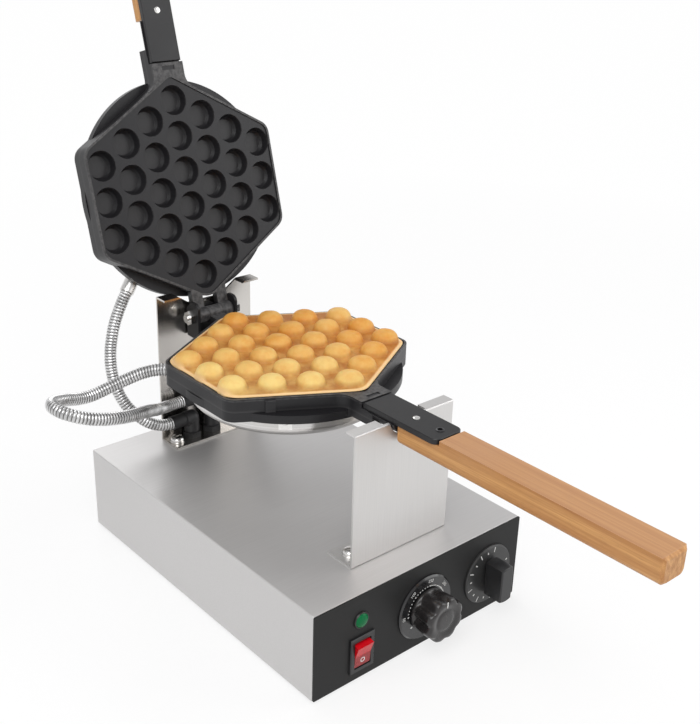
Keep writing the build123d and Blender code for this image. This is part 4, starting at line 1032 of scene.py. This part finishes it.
class WAFFLEMAKER_OT_controls(bpy.types.Operator):
    """Control panel, dial plates, knobs, rocker switch and lamp"""
    bl_idname = "waffle_maker.controls"
    bl_label = "Controls"

    def execute(self, context):
        chosen = settings().control
        panel = moulded("panel_enamel", chosen.panel, 0.46, 0.12, 700.0, specular_ior_level=0.16)
        dress(panel, "control_panel")
        dress(moulded("dial_gloss", chosen.dial, 0.2, 0.2, 300.0, coat_weight=0.3), "thermostat_dial")
        dress(moulded("dial_satin", chosen.timer_dial, 0.42, 0.2), "timer_dial")
        self.lobed_knob(chosen)
        dress(moulded("knob_satin", chosen.bar_knob, 0.36, 0.25), "timer_knob")
        dress(moulded("bezel_plastic", (0.016, 0.016, 0.017), 0.32), "switch_housing")
        dress(self.rocker_finish(chosen), "switch_rocker")
        self.off_mark()
        self.lamp(chosen)
        return {"FINISHED"}

    def lobed_knob(self, chosen):
        """A short skirt, then lobes that swell towards a dished face with a plain round cap."""
        def flute(angle, depth):
            return 1.0 - depth * (0.5 + 0.5 * math.cos(chosen.lobes * angle)) ** 1.6

        def line(work):
            verts = bmesh.ops.create_cube(work, size=1.0)["verts"]
            bmesh.ops.scale(work, vec=INDEX_SIZE, verts=verts)
            bmesh.ops.translate(work, vec=INDEX_MIDDLE, verts=verts)
            bmesh.ops.bevel(work, geom=list(work.edges), offset=min(INDEX_SIZE) * 0.25, segments=2,
                            affect="EDGES")

        gloss = moulded("knob_gloss", chosen.knob, 0.26, 0.3, coat_weight=0.2, coat_roughness=0.15)
        place = front(THERMOSTAT_X, DIAL_FACE - KNOB_GAP, DIAL_Z)
        mesh = lathed("thermostat_knob", KNOB_PROFILE, 192, place, flute, closed_back=True)
        piece("thermostat_grip", mesh, "thermostat_control", gloss, "thermostat_knob", 50)
        mesh = built("index_line", line, place)
        piece("thermostat_index", mesh, "thermostat_control", ink("index_ink"))

    def rocker_finish(self, chosen):
        """Clear red moulding, with painted shade over its pressed half."""
        finish = moulded("rocker_red", chosen.rocker, 0.22, 0.15, 300.0, coat_weight=0.1,
                         specular_ior_level=0.22, subsurface_weight=0.1, subsurface_scale=0.002)
        half = finish.between(finish.xyz(finish.place)[2], *ROCKER_SPLIT_Z, 1.0, 0.0)
        deep = finish.mix(finish.noise(160.0), darker(chosen.rocker, 0.15), chosen.rocker)
        # painted shade: the pressed lower half is darker than the other
        finish.put("Base Color", finish.mix(half, deep, chosen.rocker_low))
        return finish

    def off_mark(self):
        """The open ring on the rocker's lower half."""
        place = Matrix.Translation(ROCKER_PIVOT) @ Matrix.Rotation(ROCKER_TILT, 4, "X")
        place = place @ Matrix.Translation(OFF_PLACE) @ Matrix.Rotation(OFF_LEAN, 4, "X")
        mesh = lathed("off_mark", OFF_RING, 40, place)
        piece("off_ring", mesh, "power_switch", ink("switch_ink"))

    def lamp(self, chosen):
        """Domed green lens in a thin dark rim."""
        place = front(LAMP_X, PANEL_FACE, LAMP_Z)
        plastic = moulded("lamp_rim_plastic", (0.012, 0.013, 0.012), 0.3)
        mesh = lathed("lamp_rim", LAMP_RIM, 64, place)
        piece("lamp_rim", mesh, "base", plastic, sharp=40)
        dome = [(LENS_RADIUS, LENS_FOOT), (LENS_RADIUS, LENS_BAND)]
        for i in range(1, LENS_STEPS):
            turn = math.pi / 2 * i / LENS_STEPS
            dome.append((LENS_RADIUS * math.cos(turn), LENS_BAND + LENS_RISE * math.sin(turn)))
        dome.append((0.0, LENS_BAND + LENS_RISE))
        finish = moulded("lamp_green", chosen.lamp, 0.2, 0.2, 200.0, coat_weight=0.04,
                         specular_ior_level=0.14)
        finish.put("Emission Color", chosen.lamp)
        finish.put("Emission Strength", 0.12)
        facets = finish.node("ShaderNodeTexVoronoi", {"Vector": finish.place, "Scale": 520.0},
                             feature="SMOOTH_F1")
        finish.bump(facets, 0.0003, 0.4)
        mesh = lathed("lamp_lens", dome, 64, place, closed_back=True)
        piece("lamp_lens", mesh, "base", finish, "indicator_lens", 60)


# ------------------------------------------------------------------ dial markings
PRINT = 0.00006                         # how far the print stands off its dial
STOPS = ((50, -92), (100, -40), (150, 8), (200, 52), (250, 93), (300, 130))
DOTS_BETWEEN = (5, 5, 9, 9, 9)
DOT_REACH = 0.0221
SMALL_DOT, STOP_DOT, OFF_DOT = 0.00062, 0.00082, 0.0010
OFF_ANGLE = -128
FIGURE_REACH, FIGURE_HEIGHT = 0.0270, 0.0044
TICK_REACH, TICK_START, TICK_SWEEP = 0.0232, 12, 300
TICKS = ((0.0052, 0.0009), (0.0022, 0.0012))        # long and short: length and width


class WAFFLEMAKER_OT_markings(bpy.types.Operator):
    """Printed dots, ticks and numbers on the two dial plates"""
    bl_idname = "waffle_maker.markings"
    bl_label = "Dial markings"

    def execute(self, context):
        work = bmesh.new()
        place = front(THERMOSTAT_X, DIAL_FACE - PRINT, DIAL_Z)
        for number, angle in STOPS:
            self.number(work, str(number), self.turned(place, angle, FIGURE_REACH))
        for (_, a), (_, b), dots in zip(STOPS, STOPS[1:], DOTS_BETWEEN):
            for i in range(dots + 1):
                self.dot(work, place, a + (b - a) * i / (dots + 1), SMALL_DOT if i else STOP_DOT)
        self.dot(work, place, STOPS[-1][1], STOP_DOT)
        self.dot(work, place, OFF_ANGLE, OFF_DOT)
        place = front(TIMER_X, DIAL_FACE - PRINT, DIAL_Z)
        ticks = settings().control.ticks
        for i in range(ticks):
            length, width = TICKS[i % 2]
            at = self.turned(place, TICK_START - TICK_SWEEP * i / (ticks - 1), TICK_REACH)
            ends = ((-width / 2, 0), (width / 2, 0), (width / 2, length), (-width / 2, length))
            work.faces.new([work.verts.new(at @ Vector((x, y, 0))) for x, y in ends])
        mesh = bpy.data.meshes.new("dial_markings")
        work.to_mesh(mesh)
        work.free()
        piece("dial_markings", mesh, "base", ink("dial_ink"))
        return {"FINISHED"}

    def turned(self, place, angle, reach):
        return place @ Matrix.Rotation(math.radians(-angle), 4, "Z") @ Matrix.Translation((0, reach, 0))

    def number(self, work, text, at):
        """Figures with their heads to the rim, as flat mesh."""
        letters = bpy.data.curves.new("figures", "FONT")
        letters.body = text
        letters.size = FIGURE_HEIGHT
        letters.align_x = "CENTER"
        letters.align_y = "CENTER"
        letters.resolution_u = 3
        flat = final_mesh(linked("figures", letters))
        flat.transform(at)
        work.from_mesh(flat)

    def dot(self, work, place, angle, radius):
        at = self.turned(place, angle, DOT_REACH)
        bmesh.ops.create_circle(work, cap_ends=True, segments=14, radius=radius, matrix=at)


# ------------------------------------------------------------------ fasteners
HEAD_STEPS = 40
ABOVE = 1.3                             # how far a recess starts above its head, in heights
STAND_BOLTS = (                         # x, y and the slot's turn
    (-0.044, -0.1315, -28), (0.044, -0.1315, 37), (-0.048, 0.1391, 5), (0.048, 0.1391, 49))
BOLT_HEAD = 0.0045
CLIP_REACH, CLIP_TURN, CLIP_Z = 0.102, 40.0, -0.02335           # places in a pan's own frame
COVER_Y = -0.1266
NECK_Y, NECK_Z = (-0.271, -0.283), -0.0161
RIVET_Y, SOCKET_Y = -0.2995, -0.3275
STRAP_TOP = -0.0009
BOTTOM_EDGE, BOTTOM_Y = 0.00396, 0.120  # the screws' head radius, and their places along Y
BOTTOM_SEAT, BOTTOM_HEAD = 0.0019, 0.0018
RIVET_PROFILE = (
    (0.0, -0.0160), (0.0024, -0.0160), (0.0024, 0.0), (0.0032, 0.0), (0.0031, 0.0003),
    (0.0026, 0.00055), (0.0018, 0.0007), (0.0009, 0.00078), (0.0, 0.0008))
SOCKET_PROFILE = (                      # radius, height and how far it is a hexagon
    (0.0, -0.0160, 0.0), (0.0024, -0.0160, 0.0), (0.0024, 0.0, 0.0), (0.0037, 0.0, 0.0),
    (0.0037, 0.0004, 0.0), (0.0033, 0.0007, 0.0), (0.0027, 0.0008, 0.0), (0.0024, 0.0007, 1.0),
    (0.0022, -0.0012, 1.0), (0.0, -0.0014, 0.0))


def hexagonal(angle, depth):
    """Reach of a hexagon's side by angle, blended with a circle by depth."""
    lean = (angle % (math.pi / 3)) - math.pi / 6
    return 1.0 + depth * (math.cos(math.pi / 6) / math.cos(lean) - 1.0)


def round_head(name, radius, height, shank, stem, flat):
    """Domed head standing on z 0, with a plain shank below it."""
    shape = [(0.0, -shank), (stem, -shank), (stem, 0.0), (radius, 0.0), (radius, height * flat)]
    for i in range(1, 8):
        turn = math.pi / 2 * i / 7
        shape.append((radius * (0.35 + 0.65 * math.cos(turn)), height * (flat + (1 - flat) * math.sin(turn))))
    shape.append((0.0, height))
    return lathed(name, shape, HEAD_STEPS)


def prism(name, outline, shrink, low, high):
    """An upright block over an outline, narrower at its lower end."""
    def build(work):
        foot = [work.verts.new((x * shrink, y * shrink, low)) for x, y in outline]
        head = [work.verts.new((x, y, high)) for x, y in outline]
        work.faces.new(foot[::-1])
        work.faces.new(head)
        for i in range(len(outline)):
            j = (i + 1) % len(outline)
            work.faces.new((foot[i], foot[j], head[j], head[i]))
    return built(name, build)


def cut_out(name, head, recess):
    """A head with a recess taken out of it."""
    body = linked(name, head)
    tool = linked(name + "_recess", recess)
    cut = body.modifiers.new("Recess", "BOOLEAN")
    cut.operation = "DIFFERENCE"
    cut.object = tool
    cut.solver = "EXACT"
    done = final_mesh(body)
    bpy.data.objects.remove(tool)
    return done


def cross_head(name, radius, height, shank):
    """Pan head with a cross recess."""
    arm, thin = radius * 0.55, radius * 0.16
    outline = [(thin, arm), (-thin, arm), (-thin, thin), (-arm, thin), (-arm, -thin), (-thin, -thin),
               (-thin, -arm), (thin, -arm), (thin, -thin), (arm, -thin), (arm, thin), (thin, thin)]
    recess = prism(name + "_cross", outline, 0.5, height * 0.35, height * ABOVE)
    return cut_out(name, round_head(name, radius, height, shank, radius * 0.5, 0.35), recess)


def slotted_head(name, radius, height, shank):
    """Round head with one straight slot across it."""
    far, half = radius * ABOVE, radius * 0.12
    outline = [(-far, -half), (far, -half), (far, half), (-far, half)]
    slot = prism(name + "_slot", outline, 1.0, height * 0.62, height * ABOVE)
    return cut_out(name, round_head(name, radius, height, shank, radius * 0.42, 0.25), slot)


class WAFFLEMAKER_OT_fasteners(bpy.types.Operator):
    """Stand bolts and washers, cover, neck and bottom screws, grip rivets and screws"""
    bl_idname = "waffle_maker.fasteners"
    bl_label = "Fasteners"

    def execute(self, context):
        self.bright = satin_steel("bright_fasteners", settings().steel.bright, 0.16, (900, 900, 900), 120.0)
        self.stand_bolts()
        self.washers()
        self.pan_screws("lower_", 1.0)
        self.pan_screws("upper_", -1.0)
        low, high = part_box("bottom_screws")
        reach = (high[0] - low[0]) / 2 - BOTTOM_EDGE
        frames = [facing((x, y, low[2] + BOTTOM_SEAT), (0, 0, -1))
                  for x in (-reach, reach) for y in (-BOTTOM_Y, BOTTOM_Y)]
        master = cross_head("bottom_screw", 0.0039, BOTTOM_HEAD, high[2] - low[2] - 0.0020)
        self.screws("bottom_screws", master, frames, "base")
        dress(satin_steel("plated_nuts", (0.60, 0.58, 0.52), 0.3, (300, 300, 300), 110.0), "stand_nuts")
        return {"FINISHED"}

    def screws(self, node, master, frames, body, finish=None):
        """Copies of a fastener, in place of a CAD node's."""
        name = node + "_detailed"
        mesh = repeated(name, master, frames, finish or self.bright)
        piece(name, mesh, body, node=node, sharp=30)

    def stand_bolts(self):
        """Slotted round-headed bolts through the stands' feet."""
        low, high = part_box("stand_bolts")
        seat = high[2] - BOLT_HEAD
        frames = [facing((x, y, seat), (0, 0, 1), math.radians(turn)) for x, y, turn in STAND_BOLTS]
        master = slotted_head("stand_bolt", 0.0070, BOLT_HEAD, seat - low[2])
        self.screws("stand_bolts", master, frames, "base")

    def washers(self):
        low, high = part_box("stand_washers")
        thick = high[2] - low[2]
        shape = ((0.0033, 0.0), (0.0073, 0.0), (0.0075, 0.0002), (0.0075, thick - 0.0003), (0.0072, thick),
                 (0.0033, thick), (0.0033, 0.0))
        frames = [facing((x, y, low[2]), (0, 0, 1)) for x, y, _ in STAND_BOLTS]
        self.screws("stand_washers", lathed("round_washer", shape, HEAD_STEPS), frames, "base")

    def pan_screws(self, side, flip):
        """The cover and neck screws, and the bright rivet and dark socket screw on the strap."""
        place = pan_frame(flip < 0)
        body = side + "pan"

        def on_pan(points, out):
            return [place @ facing(point, (0, 0, out)) for point in points]

        turns = [math.radians(-CLIP_TURN - 90.0 * quarter) for quarter in range(4)]
        clips = [(flip * CLIP_REACH * math.sin(t), COVER_Y - CLIP_REACH * math.cos(t), CLIP_Z) for t in turns]
        master = cross_head("cover_screw", 0.0030, 0.0019, 0.0012)
        self.screws(side + "cover_screws", master, on_pan(clips, -1), body)
        necks = [(0, y, NECK_Z) for y in NECK_Y]
        master = cross_head("neck_screw", 0.0045, 0.0024, 0.0128)
        self.screws(side + "neck_screws", master, on_pan(necks, -1), body)
        master = lathed("domed_rivet", RIVET_PROFILE, HEAD_STEPS)
        self.screws(side + "handle_rivet", master, on_pan([(0, RIVET_Y, STRAP_TOP)], 1), body)
        master = lathed("socket_screw", SOCKET_PROFILE, 48, sides=hexagonal)
        dark = satin_steel(side + "blackened_screw", (0.09, 0.09, 0.095), 0.3, (600, 600, 600), 90.0)
        self.screws(side + "handle_screw", master, on_pan([(0, SOCKET_Y, STRAP_TOP)], 1), body, dark)


# ------------------------------------------------------------------ fittings
class WAFFLEMAKER_OT_fittings(bpy.types.Operator):
    """Elbows, cord gland and the electrical parts inside the base"""
    bl_idname = "waffle_maker.fittings"
    bl_label = "Fittings"

    def execute(self, context):
        nylon = moulded("black_nylon", (0.020, 0.020, 0.021), 0.45, 0.3, 600.0)
        dress(nylon, *both("hose_elbow"), "elbow_locknuts", "cord_gland", "cord_gland_locknut")
        inner = moulded("inner_plastic", (0.055, 0.053, 0.050), 0.5, 0.25, 400.0)
        dress(inner, "timer", "indicator_body")
        dress(satin_steel("plated_capsule", (0.66, 0.62, 0.52), 0.32, (200, 200, 200), 70.0), "thermostat")
        glaze = Finish("glazed_ceramic", (0.80, 0.78, 0.73), roughness=0.25, coat_weight=0.3)
        cloud = glaze.noise(50.0, detail=5.0)
        glaze.put("Base Color", glaze.mix(cloud, (0.72, 0.70, 0.64), (0.86, 0.85, 0.81)))
        glaze.rough(cloud, 0.18, 0.34)
        glaze.bump(glaze.noise(380.0), 0.00008, 0.4)
        dress(glaze, "terminal_block")
        return {"FINISHED"}


# ------------------------------------------------------------------ panel and registration
OPERATORS = (
    WAFFLEMAKER_OT_stage, WAFFLEMAKER_OT_conduits, WAFFLEMAKER_OT_waffle, WAFFLEMAKER_OT_steelwork,
    WAFFLEMAKER_OT_castings, WAFFLEMAKER_OT_covers, WAFFLEMAKER_OT_handles, WAFFLEMAKER_OT_hinge,
    WAFFLEMAKER_OT_controls, WAFFLEMAKER_OT_markings, WAFFLEMAKER_OT_fasteners, WAFFLEMAKER_OT_fittings,
)


class WAFFLEMAKER_PT_pieces(bpy.types.Panel):
    """The pieces of the waffle maker and the sizes they follow"""
    bl_idname = "WAFFLEMAKER_PT_pieces"
    bl_label = "Waffle Maker"
    bl_space_type = "VIEW_3D"
    bl_region_type = "UI"
    bl_category = "Waffle Maker"

    def draw(self, context):
        for operator in OPERATORS:
            self.layout.operator(operator.bl_idname)
        for name, group in GROUPS.items():
            box = self.layout.box()
            box.label(text=name.capitalize())
            for key in group.__annotations__:
                box.prop(getattr(settings(), name), key)


CLASSES = (*GROUPS.values(), WaffleMakerSettings, *OPERATORS, WAFFLEMAKER_PT_pieces)


def register():
    for made in CLASSES:
        bpy.utils.register_class(made)
    bpy.types.Scene.waffle_maker = PointerProperty(type=WaffleMakerSettings)


def unregister():
    del bpy.types.Scene.waffle_maker
    for made in reversed(CLASSES):
        bpy.utils.unregister_class(made)


def main():
    register()
    for operator in OPERATORS:
        group, call = operator.bl_idname.split(".")
        getattr(getattr(bpy.ops, group), call)()


if __name__ == "__main__":
    main()
